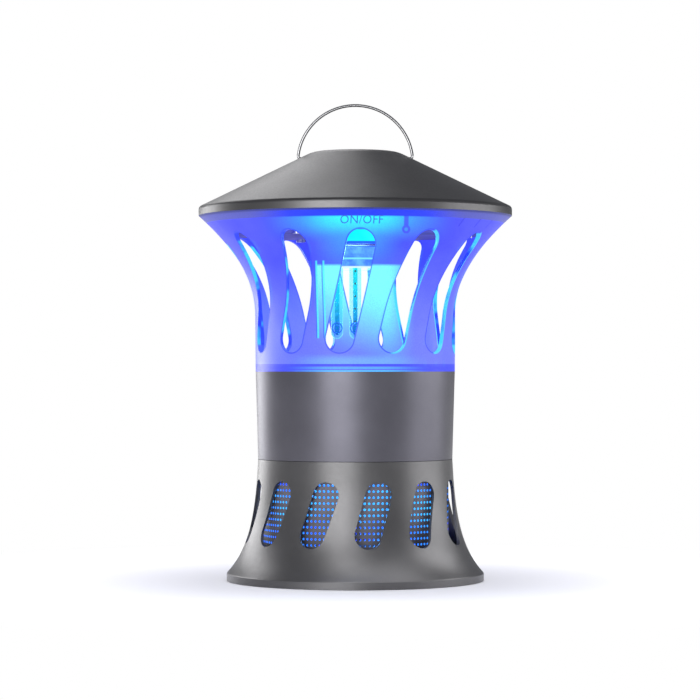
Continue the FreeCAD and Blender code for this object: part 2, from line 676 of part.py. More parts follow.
def make_lamp():
    """The lamp holder, the lamp's base, and its three U tubes."""
    holder = turned("holder_shell", (
        ("0", "size.lamp_holder_shoulder - size.lamp_holder_top"),
        ("size.lamp_base_radius + size.lamp_base_gap",
         "size.lamp_holder_shoulder - size.lamp_holder_top"),
        ("size.lamp_base_radius + size.lamp_base_gap", "size.lamp_holder_bottom"),
        ("size.lamp_holder_radius", "size.lamp_holder_bottom"),
        ("size.lamp_holder_radius", "size.lamp_holder_shoulder - size.lamp_holder_chamfer"),
        ("size.lamp_holder_radius - size.lamp_holder_chamfer", "size.lamp_holder_shoulder"),
        ("size.lamp_neck_radius", "size.lamp_holder_shoulder"),
        ("size.lamp_neck_radius", "size.tray_bottom"),
        ("0", "size.tray_bottom")))
    node(holder, "lamp_holder")
    base = cylinder("lamp_base_blank", "size.lamp_base_radius",
                    "size.lamp_holder_shoulder - size.lamp_holder_top"
                    " - size.lamp_holder_bottom - size.lamp_base_gap",
                    ("0", "0", "size.lamp_holder_bottom + size.lamp_base_gap"))
    sockets = []
    tubes = []
    bend_height = "size.tube_bottom + size.tube_radius + size.tube_bend"
    for index in (-1, 0, 1):
        across = f"{index} * size.tube_spacing"
        legs = []
        for side in (-1, 1):
            name = f"{index + 1}_{side + 1}"
            along = f"{side} * size.tube_bend"
            legs.append(cylinder(f"tube_leg_{name}", "size.tube_radius",
                                 f"size.lamp_holder_bottom + 5 - ({bend_height})",
                                 (across, along, bend_height)))
            sockets.append(cylinder(f"tube_socket_{name}", "size.tube_radius + size.screw_fit", "6",
                                    (across, along, "size.lamp_holder_bottom - 1")))
        bend = primitive("Part::Torus", f"tube_bend_{index + 1}", (across, "0", bend_height),
                         Radius1="size.tube_bend", Radius2="size.tube_radius")
        bend.Angle3 = 180
        # Stand the half torus on its bow, in the plane across X.
        upright = FreeCAD.Rotation(Vector(0, 0, 1), 90).multiply(
            FreeCAD.Rotation(Vector(1, 0, 0), -90))
        bend.Placement = FreeCAD.Placement(bend.Placement.Base, upright)
        tubes.append(fuse(f"u_tube_{index + 1}", legs + [bend]))
    node(cut("lamp_base_cut", base, group("tube_sockets", sockets)), "uv_lamp_base")
    node(group("tubes_group", tubes), "uv_lamp_tubes")


# --------------------------------------------------------------------------- shroud

LEAD_HEADINGS = (-19.9, -21.9)
LEAD_TOP_RADIUS = 73.5
CHANNEL_RIBS = (-23.3, -18.5)
SNAP_TABS = (45.0, 55.0, 64.5)


def shroud_outline(inset_low, inset_high):
    """The straight foot and flared upper edge of the shroud, moved inwards."""
    foot = size("shroud_foot")
    waist = size("shroud_waist")
    waist_radius = size("shroud_waist_radius") - inset_low
    mouth = size("rim_bottom")
    lower = straight(((size("shroud_foot_radius") - inset_low, foot), (waist_radius, waist)))
    upper = bezier(((waist_radius, waist),
                    (waist_radius, (waist + mouth) / 2),
                    (size("shroud_mouth_radius") - inset_high, mouth)))
    return lower + [upper]


def shroud_layer(outer, inner):
    """The solid between two inset copies of the shroud's outline."""
    outside = shroud_outline(*outer)
    inside = shroud_outline(*inner)
    foot = size("shroud_foot")
    mouth = size("rim_bottom")
    closing = straight(((size("shroud_foot_radius") - outer[0], foot),
                        (size("shroud_foot_radius") - inner[0], foot)))
    closing += straight(((size("shroud_mouth_radius") - outer[1], mouth),
                         (size("shroud_mouth_radius") - inner[1], mouth)))
    return revolved(Part.__sortEdges__(outside + inside + closing))


def make_light_shroud():
    """The flared translucent shroud with leaning slots, spigots and a lead channel."""
    wall = shroud_layer((0, 0), (size("shroud_wall"), size("shroud_mouth_wall")))
    wall = slotted(wall, size("shroud_slot_low"), size("shroud_slot_high"),
                   size("shroud_slot_lean"), size("shroud_slot_half"), 40, 110,
                   size("shroud_slot_heading"))
    foot = size("shroud_foot")
    mouth = size("rim_bottom")
    top_spigot = revolved(straight((
        (89.5, mouth - 0.6), (92.2, mouth - 1.6), (92.2, size("flange_bottom")),
        (89.5, size("flange_bottom")), (89.5, mouth - 0.6))))
    foot_spigot = revolved(straight((
        (55.4, foot - 4.8), (57.4, foot - 4.8), (57.4, foot), (58.6, foot),
        (58.6, foot + 3), (55.4, foot + 3.7), (55.4, foot - 4.8))))
    rib_zone = shroud_layer((1.0, 1.5), (size("shroud_wall") + 2.4,
                                         size("shroud_mouth_wall") + 3.2))
    whole = wall.fuse([top_spigot, foot_spigot])
    for heading in CHANNEL_RIBS:
        whole = whole.fuse(block_at(heading, 50, 75, 0.9, 146, 191).common(rib_zone))
    for heading in SNAP_TABS:
        whole = whole.fuse(block_at(heading, 55.8, 59.0, 2.2, foot + 2, foot + 6.6))
    notch_heading = sum(LEAD_HEADINGS) / 2
    whole = whole.cut(block_at(notch_heading, 54, 57.5, 6.0, foot - 6, foot + 5))
    node(shaped("shroud_shape", whole.removeSplitter()), "light_shroud")


def make_leads():
    """The fan's lead and the inlet's lead, side by side in the shroud's channel."""
    upper = ((LEAD_TOP_RADIUS, 213.0), (LEAD_TOP_RADIUS, 205.0), (66.2, 192.0), (60.0, 178.5),
             (56.75, 160.0), (56.45, 125.0))
    fan_route = [at(radius, LEAD_HEADINGS[0], height) for radius, height in upper]
    inside_band = ((52.3, 110.0), (52.3, 97.0), (44.0, 89.4), (13.7, 89.3))
    fan_route += [at(radius, LEAD_HEADINGS[0], height) for radius, height in inside_band]
    node(shaped("fan_lead_shape", routed_tube(fan_route, size("lead_radius"))), "fan_lead")
    power_route = [at(radius, LEAD_HEADINGS[1], height) for radius, height in upper]
    power_route.append(at(53.4, -26, 110))
    for step in range(8):
        power_route.append(at(53.2, -38 - 17 * step, 104 - step))
    inlet = size("inlet_height")
    power_route.append(Vector(-4.5, 53.4, inlet))
    node(shaped("power_lead_shape", routed_tube(power_route, size("lead_radius"))),
         "power_lead")


# --------------------------------------------------------------------------- fan section

GUARD_RINGS = (9, 24, 38)
GUARD_SCREW_START = 60
COLLAR_SCREW_START = 30


def make_mid_band():
    """The plain middle band, with an inner ledge and a recess for the inlet."""
    band = turned("band_shell", (
        ("size.band_foot_radius", "size.band_foot"),
        ("size.shroud_foot_radius", "size.shroud_foot"),
        ("size.shroud_foot_radius - size.band_wall", "size.shroud_foot"),
        ("size.band_foot_radius - size.band_wall + 0.2", "size.duct_bottom + size.duct_flange_thick"),
        ("55.4", "size.duct_bottom + size.duct_flange_thick"),
        ("55.4", "size.duct_bottom"),
        ("size.band_foot_radius - size.band_wall + 0.1", "size.duct_bottom"),
        ("size.band_foot_radius - size.band_wall", "size.band_foot")))
    back = Vector(1, 0, 0)
    hole = cylinder("inlet_hole", "size.inlet_radius + size.screw_fit", "20",
                    ("0", "size.inlet_start", "size.inlet_height"), back, -90)
    recess = cylinder("inlet_recess", "size.inlet_flange_radius + 0.2", "6",
                      ("0", "size.inlet_flange_start", "size.inlet_height"), back, -90)
    node(cut("band_cut", band, group("band_holes", [hole, recess])), "mid_band")


def make_inlet():
    """The power inlet on the rear of the band: flange, barrel, bore and centre pin."""
    back = Vector(1, 0, 0)
    barrel = cylinder("inlet_barrel", "size.inlet_radius", "size.inlet_length",
                      ("0", "size.inlet_start", "size.inlet_height"), back, -90)
    flange = cylinder("inlet_flange", "size.inlet_flange_radius", "size.inlet_flange_thick",
                      ("0", "size.inlet_flange_start", "size.inlet_height"), back, -90)
    bore = cylinder("inlet_bore_rod", "size.inlet_bore", "size.inlet_length",
                    ("0", "size.inlet_bore_start", "size.inlet_height"), back, -90)
    shell = cut("inlet_shell", fuse("inlet_blank", [barrel, flange]), bore)
    node(shell, "power_inlet")
    node(cylinder("inlet_pin_rod", "size.inlet_pin_radius", "size.inlet_pin_length",
                  ("0", "size.inlet_bore_start", "size.inlet_height"), back, -90), "inlet_pin")


def make_fan_frame():
    """The fan duct with its flanges, three struts, motor seat and screw bosses."""
    duct_outer = "size.duct_inner + size.duct_wall"
    duct = turned("duct_shell", (
        ("size.duct_inner", "size.duct_bottom"),
        ("size.duct_flange", "size.duct_bottom"),
        ("size.duct_flange", "size.duct_bottom + size.duct_flange_thick"),
        (duct_outer, "size.duct_bottom + size.duct_flange_thick"),
        (duct_outer, "size.duct_top - size.duct_top_flange"),
        ("size.duct_flange", "size.duct_top - size.duct_top_flange"),
        ("size.duct_flange", "size.duct_top"),
        ("size.duct_inner", "size.duct_top")))
    pieces = [duct]
    pieces.append(cylinder("seat_disc", "size.motor_radius + 1.5", "size.seat_thick",
                           ("0", "0", "size.seat_bottom")))
    for turn in THIRDS:
        corner = Vector(-size("strut_width") / 2, -size("duct_inner") - 1, size("seat_bottom"))
        spin = FreeCAD.Rotation(Vector(0, 0, 1), LEAD_HEADINGS[0] + turn)
        pieces.append(placed(
            "Part::Box", f"strut_{turn}", spin.multVec(corner), spin,
            Length="size.strut_width", Width="size.duct_inner - 10",
            Height="size.strut_height"))
        pieces.append(cylinder(f"guard_boss_{turn}", "size.boss_radius", "size.boss_height", polar(
            "size.screw_circle", GUARD_SCREW_START + turn,
            "size.duct_top - size.boss_height")))
        pieces.append(cylinder(f"collar_boss_{turn}", "size.boss_radius", "size.boss_height",
                               polar("size.screw_circle", COLLAR_SCREW_START + turn,
                                     "size.duct_bottom")))
    holes = [cylinder("seat_hole", "size.bearing_radius + 0.6", "10",
                      ("0", "0", "size.seat_bottom - 2")),
             cylinder("motor_clearance", "size.motor_radius", "5",
                      ("0", "0", "size.seat_bottom + size.seat_thick"))]
    for turn in THIRDS:
        holes.append(cylinder(f"guard_pilot_{turn}", "size.screw_shank", "size.screw_length", polar(
            "size.screw_circle", GUARD_SCREW_START + turn,
            "size.duct_top - size.screw_length")))
        holes.append(cylinder(f"collar_pilot_{turn}", "size.screw_shank", "size.screw_length",
                              polar("size.screw_circle", COLLAR_SCREW_START + turn,
                                    "size.duct_bottom")))
    lead_hole = shaped("lead_slot", block_at(LEAD_HEADINGS[0], 44, 50, 3.0, 89, 96))
    holes.append(lead_hole)
    node(cut("frame_cut", fuse("frame_whole", pieces), group("frame_holes", holes)), "fan_frame")


def make_motor():
    """The motor can and stator, with two bearings for the shaft."""
    bottom = "size.seat_bottom + size.seat_thick"
    top = f"{bottom} + size.motor_height"
    inner = "size.motor_radius - size.motor_wall"
    bore = "size.shaft_radius + 0.6"
    can = turned("can_shell", (
        ("size.bearing_radius", bottom),
        ("size.motor_radius", bottom),
        ("size.motor_radius", top),
        ("size.bearing_radius", top),
        ("size.bearing_radius", f"{top} - 3"),
        (bore + " + 2", f"{top} - 3"),
        (bore + " + 2", f"{top} - size.motor_wall - 2.5"),
        (inner, f"{top} - size.motor_wall - 2.5"),
        (inner, f"{bottom} + size.motor_wall + 2.5"),
        (bore + " + 2", f"{bottom} + size.motor_wall + 2.5"),
        (bore + " + 2", f"{bottom} + 3"),
        ("size.bearing_radius", f"{bottom} + 3")))
    node(can, "motor_can")
    node(ring("stator", "9.6", f"{inner}", f"{bottom} + 4", "size.motor_height - 8"),
         "motor_stator")
    bearings = []
    for name, height in (("lower", f"{bottom} + 0.4"),
                         ("upper", f"{top} - 0.4 - size.bearing_height")):
        bearings.append(ring(f"bearing_{name}", "size.shaft_radius + size.shaft_fit",
                             "size.bearing_radius", height, "size.bearing_height"))
    node(group("bearings_group", bearings), "motor_bearings")


def make_impeller():
    """The shaft, rotor magnet and seven-bladed impeller, which spin together."""
    bottom = "size.seat_bottom + size.seat_thick"
    node(cylinder("shaft_rod", "size.shaft_radius", "size.hub_bottom + size.hub_height - 2 - "
                  "(" + bottom + ")", ("0", "0", bottom)), "motor_shaft")
    node(ring("magnet", "size.shaft_radius", "9", f"{bottom} + 4.5", "size.motor_height - 9"),
         "rotor_magnet")
    hub = turned("hub_shell", (
        ("size.shaft_radius", "size.hub_bottom"),
        ("size.hub_radius", "size.hub_bottom"),
        ("size.hub_radius", "size.hub_bottom + size.hub_height - 3"),
        ("size.hub_radius - 3", "size.hub_bottom + size.hub_height"),
        ("0", "size.hub_bottom + size.hub_height"),
        ("0", "size.hub_bottom + size.hub_height - 2"),
        ("size.shaft_radius", "size.hub_bottom + size.hub_height - 2")))
    pieces = [hub]
    count = int(size("blade_count"))
    middle_height = size("hub_bottom") + size("hub_height") / 2
    for index in range(count):
        spin = FreeCAD.Rotation(Vector(0, 0, 1), index * 360.0 / count)
        both = spin.multiply(FreeCAD.Rotation(Vector(1, 0, 0), size("blade_pitch")))
        corner = Vector(0, -size("blade_chord") / 2, -size("blade_thick") / 2)
        root = spin.multVec(Vector(size("hub_radius") - 1.5, 0, 0))
        base = root + both.multVec(corner) + Vector(0, 0, middle_height)
        pieces.append(placed(
            "Part::Box", f"blade_{index}", base, both,
            Length="size.blade_tip - size.hub_radius + 1.5",
            Width="size.blade_chord", Height="size.blade_thick"))
    node(fuse("impeller_whole", pieces), "impeller")


def make_guard():
    """The fan guard: rim, three rings and six spokes, with lugs for its screws."""
    bottom = "size.duct_top"
    rim = ring("guard_rim_ring", "size.guard_rim - size.guard_rim_wide", "size.guard_rim", bottom,
               "size.guard_rim_height")
    pieces = [rim]
    for index, radius in enumerate(GUARD_RINGS):
        pieces.append(ring(f"guard_ring_{index}", f"{radius}", f"{radius} + size.guard_wire",
                           bottom, "size.guard_height"))
    for index in range(3):
        spin = FreeCAD.Rotation(Vector(0, 0, 1), 60 * index)
        corner = Vector(1 - size("guard_rim"), -size("guard_wire") / 2, size("duct_top"))
        pieces.append(placed(
            "Part::Box", f"guard_spoke_{index}", spin.multVec(corner), spin,
            Length="2 * size.guard_rim - 2", Width="size.guard_wire",
            Height="size.guard_height"))
    holes = []
    for turn in THIRDS:
        heading = GUARD_SCREW_START + turn
        pieces.append(cylinder(f"guard_lug_{turn}", "size.guard_lug", "size.guard_height",
                               polar("size.screw_circle", heading, bottom)))
        holes.append(cylinder(f"guard_hole_{turn}", "size.screw_shank", "6",
                              polar("size.screw_circle", heading, bottom + " - 1")))
        holes.append(cylinder(f"guard_seat_{turn}", "size.screw_head + size.seat_fit", "3",
                              polar("size.screw_circle", heading,
                                    bottom + " + size.guard_height")))
    node(cut("guard_cut", fuse("guard_whole", pieces), group("guard_holes", holes)), "fan_guard")


def cross_screws(label, start, height, upwards):
    """Three small pan-head screws on the screw circle, pointing up or down."""
    screws = []
    for turn in THIRDS:
        heading = start + turn
        tag = f"{label}_{turn}"
        head_place = height if not upwards else f"{height} - size.screw_head_height"
        shank_place = height if upwards else f"{height} - size.screw_length"
        recess_place = (f"{height} + size.screw_head_height - 0.8" if not upwards
                        else f"{height} - size.screw_head_height - 0.2")
        head = cylinder(tag + "_head", "size.screw_head", "size.screw_head_height",
                        polar("size.screw_circle", heading, head_place))
        shank = cylinder(tag + "_shank", "size.screw_shank - size.screw_fit", "size.screw_length",
                         polar("size.screw_circle", heading, shank_place))
        recess = cylinder(tag + "_recess", "1", "1",
                          polar("size.screw_circle", heading, recess_place))
        screws.append(cut(tag + "_cut", fuse(tag + "_blank", [head, shank]), recess))
    node(group(label + "_group", screws), label)


def make_bayonet_collar():
    """The collar under the fan duct: three lugs with stops that hold the base."""
    flange_bottom = size("duct_bottom") - size("duct_flange_thick")
    profile = straight((
        (size("collar_inner"), size("collar_bottom")),
        (size("collar_outer"), size("collar_bottom")),
        (size("collar_outer"), flange_bottom), (size("collar_flange"), flange_bottom),
        (size("collar_flange"), size("duct_bottom")),
        (size("duct_inner"), size("duct_bottom")), (size("duct_inner"), flange_bottom),
        (size("collar_inner"), flange_bottom),
        (size("collar_inner"), size("collar_bottom"))))
    collar = revolved(profile)
    inside = size("collar_inner") + 0.5
    lug_bottom = size("lug_bottom")
    for turn in THIRDS:
        collar = collar.fuse(sector(turn, 12, inside, size("lug_outer"), lug_bottom,
                                    size("lug_height")))
        for stop in STOP_HEADINGS:
            collar = collar.fuse(sector(turn + stop, 1.2, inside, size("lug_outer"),
                                        lug_bottom, 7.0))
        hole_at = at(size("screw_circle"), COLLAR_SCREW_START + turn, flange_bottom - 1)
        collar = collar.cut(Part.makeCylinder(size("screw_shank"), 5, hole_at))
        notch_at = at(size("screw_circle"), COLLAR_SCREW_START + turn, flange_bottom - 3)
        collar = collar.cut(Part.makeCylinder(size("screw_head") + size("seat_fit"), 3, notch_at))
    node(shaped("collar_shape", collar.removeSplitter()), "bayonet_collar")


# --------------------------------------------------------------------------- base

BASE_LUG_HALF = 8.0
BASE_TWIST = 25.0
STOP_HEADINGS = (-(BASE_LUG_HALF + 2.0), BASE_LUG_HALF + BASE_TWIST + 2.0)


def base_outline(inset):
    """The flared side of the base, moved inwards by the wall for its inner face."""
    lip = size("base_lip")
    height = size("base_lip_height")
    top_radius = size("base_top_radius")
    drop = 0.65 * inset
    return ((lip - 0.4 - 0.7 * inset, height + 0.6 - drop), (63.1 - 0.8 * inset, 20.3 - drop / 2),
            (60.4 - inset, 43.4), (top_radius - inset, size("base_top")))


def base_solid(inset):
    """The solid inside the base's side, down to the surface it stands on."""
    side = base_outline(inset)
    lip = size("base_lip") - inset
    low = side[0]
    top = side[-1]
    edges = straight(((0, 0), (lip, 0), (lip, size("base_lip_height") - 0.65 * inset), low))
    edges.append(bezier(side))
    edges += straight((top, (0, top[1]), (0, 0)))
    return revolved(edges)


def make_base_shell():
    """The flared base with leaning slots, bayonet lugs and screw bosses."""
    wall = size("base_wall")
    outside = base_solid(0)
    shell = outside.cut(base_solid(wall))
    shell = slotted(shell, size("base_slot_low"), size("base_slot_high"),
                    size("base_slot_lean"), size("base_slot_half"), 40, 100,
                    size("base_slot_heading"))
    lug_bottom = size("lug_bottom") + size("lug_height") + size("lug_play")
    for turn in THIRDS:
        shell = shell.fuse(sector(turn, BASE_LUG_HALF, size("collar_outer") + 0.3,
                                  size("base_top_radius") - 1.0, lug_bottom, 2.6))
    plate_top = size("plate_bottom") + size("plate_thick")
    for index in range(4):
        centre = at(size("base_screw_circle"), 45 + 90 * index, plate_top)
        boss = Part.makeCylinder(size("base_boss_radius"), size("base_boss_height"), centre)
        boss = boss.common(base_solid(0.6))
        shell = shell.fuse(boss).cut(Part.makeCylinder(size("screw_shank"), 5.2, centre))
    node(shaped("base_shape", shell.removeSplitter()), "base_shell")


def make_basket():
    """The catch basket: a thin cup inside the base, with a rolled rim."""
    basket = turned("basket_cup", (
        ("0", "size.basket_bottom"),
        ("size.basket_radius", "size.basket_bottom"),
        ("size.basket_radius", "size.basket_top"),
        ("size.basket_radius - size.basket_wall - 0.8", "size.basket_top"),
        ("size.basket_radius - size.basket_wall - 0.8", "size.basket_top - 1.2"),
        ("size.basket_radius - size.basket_wall", "size.basket_top - 1.2"),
        ("size.basket_radius - size.basket_wall", "size.basket_bottom + size.basket_wall"),
        ("0", "size.basket_bottom + size.basket_wall")))
    node(basket, "catch_basket")


def make_base_plate():
    """The plate that closes the base from below, with its screws and rubber feet."""
    plate = cylinder("plate_disc", "size.plate_radius", "size.plate_thick",
                     ("0", "0", "size.plate_bottom"))
    holes = []
    screws = []
    feet = []
    for index in range(4):
        heading = 45 + 90 * index
        holes.append(cylinder(f"plate_hole_{index}", "size.screw_shank", "6", polar(
            "size.base_screw_circle", heading, "size.plate_bottom - 1")))
        holes.append(cylinder(f"plate_sink_{index}", "size.screw_head + 0.2", "1.2", polar(
            "size.base_screw_circle", heading, "size.plate_bottom - 0.2")))
        head = cylinder(f"base_head_{index}", "size.screw_head", "size.base_head_height", polar(
            "size.base_screw_circle", heading, "size.plate_bottom"))
        shank = cylinder(f"base_shank_{index}", "size.screw_shank - size.screw_fit",
                         "size.base_screw_length", polar(
                             "size.base_screw_circle", heading,
                             "size.plate_bottom + size.base_head_height"))
        screws.append(fuse(f"base_screw_{index}", [head, shank]))
        feet.append(cylinder(f"foot_{index}", "size.foot_radius", "size.plate_bottom", polar(
            "size.foot_circle", 90 * index, "0")))
    node(cut("plate_cut", plate, group("plate_holes", holes)), "base_plate")
    node(group("base_screws_group", screws), "base_screws")
    node(group("feet_group", feet), "rubber_feet")


def write_nodes():
    """Check every object and sub-part, then write one file for each sub-part."""
    doc.recompute()
    for item in doc.Objects:
        if "Invalid" in item.State or "Error" in item.State:
            raise RuntimeError(f"{item.Label} did not compute: {item.State}")
    for piece in NODES:
        if piece.Shape.isNull() or not piece.Shape.isValid() or not piece.Shape.Solids:
            raise RuntimeError(f"{piece.Label} has no valid solid")
    os.makedirs("parts", exist_ok=True)
    for piece in NODES:
        piece.Shape.exportStep(f"parts/{piece.Label}.step")
        print(f"{piece.Label}: {len(piece.Shape.Solids)} solid(s), "
              f"{piece.Shape.Volume / 1000:.2f} cm3")


make_lid_cover()
make_bail_pivots()
make_lid_tray()
make_lid_screws()
make_latch_tabs()
make_bail_handle()
make_electronics()
make_switch()
make_button()
make_lamp()
make_light_shroud()
make_leads()
make_mid_band()
make_inlet()
make_fan_frame()
make_motor()
make_impeller()
make_guard()
cross_screws("guard_screws", GUARD_SCREW_START, "size.duct_top + size.guard_height", False)
cross_screws("collar_screws", COLLAR_SCREW_START, "size.duct_bottom - size.duct_flange_thick",
             True)
make_bayonet_collar()
make_base_shell()
make_basket()
make_base_plate()
write_nodes()
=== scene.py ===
"""Looks of the hanging insect trap lantern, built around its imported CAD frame.

Metres, +Z up, front towards -Y. A heading is an angle about Z measured from the front
towards +X, so a point at radius r and heading a is at (r sin a, -r cos a).
"""

import json
import math

import bmesh
import bpy
from mathutils import Matrix, Vector


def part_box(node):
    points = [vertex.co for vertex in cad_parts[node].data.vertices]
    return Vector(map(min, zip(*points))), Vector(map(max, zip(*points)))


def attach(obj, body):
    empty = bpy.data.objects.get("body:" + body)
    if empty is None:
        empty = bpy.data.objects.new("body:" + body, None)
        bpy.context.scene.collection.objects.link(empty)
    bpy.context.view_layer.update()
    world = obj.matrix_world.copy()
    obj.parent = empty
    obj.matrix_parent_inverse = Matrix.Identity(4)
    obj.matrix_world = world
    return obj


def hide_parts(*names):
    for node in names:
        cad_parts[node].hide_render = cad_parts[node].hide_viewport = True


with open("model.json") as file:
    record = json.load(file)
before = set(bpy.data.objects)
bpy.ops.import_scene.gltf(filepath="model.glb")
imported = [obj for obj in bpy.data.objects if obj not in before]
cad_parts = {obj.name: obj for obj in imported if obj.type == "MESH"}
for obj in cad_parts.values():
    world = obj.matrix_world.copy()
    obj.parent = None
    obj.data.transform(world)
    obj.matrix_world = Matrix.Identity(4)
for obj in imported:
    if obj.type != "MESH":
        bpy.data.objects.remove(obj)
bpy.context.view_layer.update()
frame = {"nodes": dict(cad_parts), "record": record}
nodes = frame["nodes"]
MM = 0.001


# --------------------------------------------------------------------------- node helpers

class Shader:
    """A node material built by short calls."""

    def __init__(self, name):
        self.material = bpy.data.materials.new(name)
        self.material.use_nodes = True
        self.tree = self.material.node_tree
        self.tree.nodes.clear()
        self.output = self.tree.nodes.new("ShaderNodeOutputMaterial")

    def node(self, kind, **settings):
        """A new shader node with its settings."""
        made = self.tree.nodes.new("ShaderNode" + kind)
        for key, setting in settings.items():
            setattr(made, key, setting)
        return made

    def link(self, source, target):
        """Link an output to an input."""
        self.tree.links.new(source, target)

    def feed(self, socket, value):
        """Link a socket, or set its plain value."""
        if isinstance(value, bpy.types.NodeSocket):
            self.link(value, socket)
        else:
            socket.default_value = value

    def position(self, scale=1.0):
        """Object coordinates, which are the frame's metres, times a scale."""
        coordinates = self.node("TexCoord").outputs["Object"]
        if scale == 1.0:
            return coordinates
        grow = self.node("VectorMath", operation="SCALE")
        self.link(coordinates, grow.inputs[0])
        grow.inputs["Scale"].default_value = scale
        return grow.outputs[0]

    def noise(self, scale, detail=3.0, roughness=0.5, vector=None):
        """A noise texture in object space."""
        texture = self.node("TexNoise")
        self.link(vector or self.position(), texture.inputs["Vector"])
        texture.inputs["Scale"].default_value = scale
        texture.inputs["Detail"].default_value = detail
        texture.inputs["Roughness"].default_value = roughness
        return texture.outputs["Fac"]

    def math(self, operation, first, second=0.0):
        """One arithmetic step on sockets or numbers."""
        made = self.node("Math", operation=operation)
        for socket, value in zip(made.inputs, (first, second)):
            self.feed(socket, value)
        return made.outputs[0]

    def product(self, first, *others):
        """The product of two or more values."""
        for other in others:
            first = self.math("MULTIPLY", first, other)
        return first

    def gap(self, value, centre):
        """How far a value lies from a centre, on either side."""
        return self.math("ABSOLUTE", self.math("SUBTRACT", value, centre))

    def distance(self, first, second):
        """The distance covered by two steps at right angles."""
        return self.math("SQRT", self.math("ADD", self.product(first, first),
                                           self.product(second, second)))

    def largest(self, values):
        """The largest of several values."""
        first, *others = values
        for other in others:
            first = self.math("MAXIMUM", first, other)
        return first

    def span(self, value, low, high, to_low=0.0, to_high=1.0):
        """Map a value smoothly from one span to another, held at both ends."""
        made = self.node("MapRange", interpolation_type="SMOOTHSTEP")
        for key, number in (("Value", value), ("From Min", low), ("From Max", high),
                            ("To Min", to_low), ("To Max", to_high)):
            self.feed(made.inputs[key], number)
        return made.outputs[0]

    def mix(self, factor, first, second):
        """Mix two colours."""
        made = self.node("Mix", data_type="RGBA")
        self.feed(made.inputs["Factor"], factor)
        self.feed(made.inputs["A"], first)
        self.feed(made.inputs["B"], second)
        return made.outputs["Result"]

    def bump(self, height, distance, strength=1.0):
        """A normal from a height; the distance is in metres."""
        made = self.node("Bump")
        self.feed(made.inputs["Height"], height)
        made.inputs["Distance"].default_value = distance
        made.inputs["Strength"].default_value = strength
        return made.outputs[0]

    def principled(self, **values):
        """A principled shader; an underscore in a name stands for a space."""
        made = self.node("BsdfPrincipled")
        for key, value in values.items():
            self.feed(made.inputs[key.replace("_", " ")], value)
        return made

    def mix_shaders(self, factor, first, second):
        """Mix two shaders."""
        made = self.node("MixShader")
        self.feed(made.inputs[0], factor)
        self.link(first, made.inputs[1])
        self.link(second, made.inputs[2])
        return made.outputs[0]

    def add_shaders(self, first, second):
        """Add two shaders."""
        made = self.node("AddShader")
        self.link(first, made.inputs[0])
        self.link(second, made.inputs[1])
        return made.outputs[0]

    def emission(self, colour, strength=1.0):
        """Light given off by a surface."""
        made = self.node("Emission")
        self.feed(made.inputs["Color"], colour)
        self.feed(made.inputs["Strength"], strength)
        return made.outputs[0]

    def finish(self, surface):
        """Put a shader on the surface, and give back the material."""
        self.link(surface, self.output.inputs["Surface"])
        return self.material


def rgb(red, green, blue):
    """A colour socket value from linear red, green and blue."""
    return (red, green, blue, 1.0)


def dimmed(colour, share):
    """A colour socket value with every channel at a share of its strength."""
    return rgb(*(channel * share for channel in colour))


def separate(shader, vector):
    """The x, y and z of a vector, as sockets."""
    parts = shader.node("SeparateXYZ")
    shader.link(vector, parts.inputs[0])
    return parts.outputs


# --------------------------------------------------------------------------- materials

def gunmetal():
    """Satin metallic paint: fine flake, faint orange peel, and a cooler tone on the band."""
    shader = Shader("gunmetal_paint")
    flake = shader.noise(5200, 2, 0.6)
    cloud = shader.noise(35, 4)
    shade = shader.math("ADD", shader.product(flake, 0.35), shader.product(cloud, 0.65))
    tone = shader.span(shade, 0.3, 0.7)
    plain = shader.mix(tone, rgb(0.121, 0.120, 0.122), rgb(0.147, 0.145, 0.149))
    glazed = shader.mix(tone, rgb(0.119, 0.117, 0.139), rgb(0.145, 0.142, 0.170))
    z = separate(shader, shader.position())[2]
    low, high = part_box("mid_band")
    on_band = shader.product(shader.span(z, low.z - 0.5 * MM, low.z),
                             shader.span(z, high.z + 0.5 * MM, high.z))
    colour = shader.mix(on_band, plain, glazed)
    roughness = shader.span(shader.noise(900, 3), 0.3, 0.7, 0.36, 0.42)
    peel = shader.noise(2600, 2)
    surface = shader.principled(
        Base_Color=colour, Metallic=0.93, Roughness=roughness,
        Normal=shader.bump(peel, 0.03 * MM, 0.35))
    return shader.finish(surface.outputs[0])


def moulded(name, colour, roughness=0.5, texture=1800, depth=0.04 * MM):
    """Moulded plastic with a fine spark-eroded texture and slight tone variation."""
    shader = Shader(name)
    cloud = shader.span(shader.noise(60, 4), 0.3, 0.7, 0.86, 1.1)
    base = shader.mix(shader.span(cloud, 0.86, 1.1), dimmed(colour, 0.82), rgb(*colour))
    rough = shader.span(shader.noise(400, 3), 0.3, 0.7, roughness - 0.06, roughness + 0.06)
    surface = shader.principled(
        Base_Color=base, Roughness=rough,
        Normal=shader.bump(shader.noise(texture, 2), depth, 0.5))
    return shader.finish(surface.outputs[0])


def metal(name, colour, roughness=0.25, grain=900):
    """Bare or plated metal with drawn streaks."""
    shader = Shader(name)
    x, y, z = separate(shader, shader.position())
    along = shader.node("CombineXYZ")
    for index, part in enumerate((x, y)):
        shader.link(part, along.inputs[index])
    shader.link(shader.product(z, 0.12), along.inputs[2])
    streak = shader.noise(grain, 3, 0.6, along.outputs[0])
    base = shader.mix(streak, dimmed(colour, 0.8), rgb(*colour))
    rough = shader.span(streak, 0.3, 0.7, roughness * 0.8, roughness * 1.25)
    surface = shader.principled(Base_Color=base, Metallic=1.0, Roughness=rough,
                                Normal=shader.bump(streak, 0.01 * MM, 0.3))
    return shader.finish(surface.outputs[0])
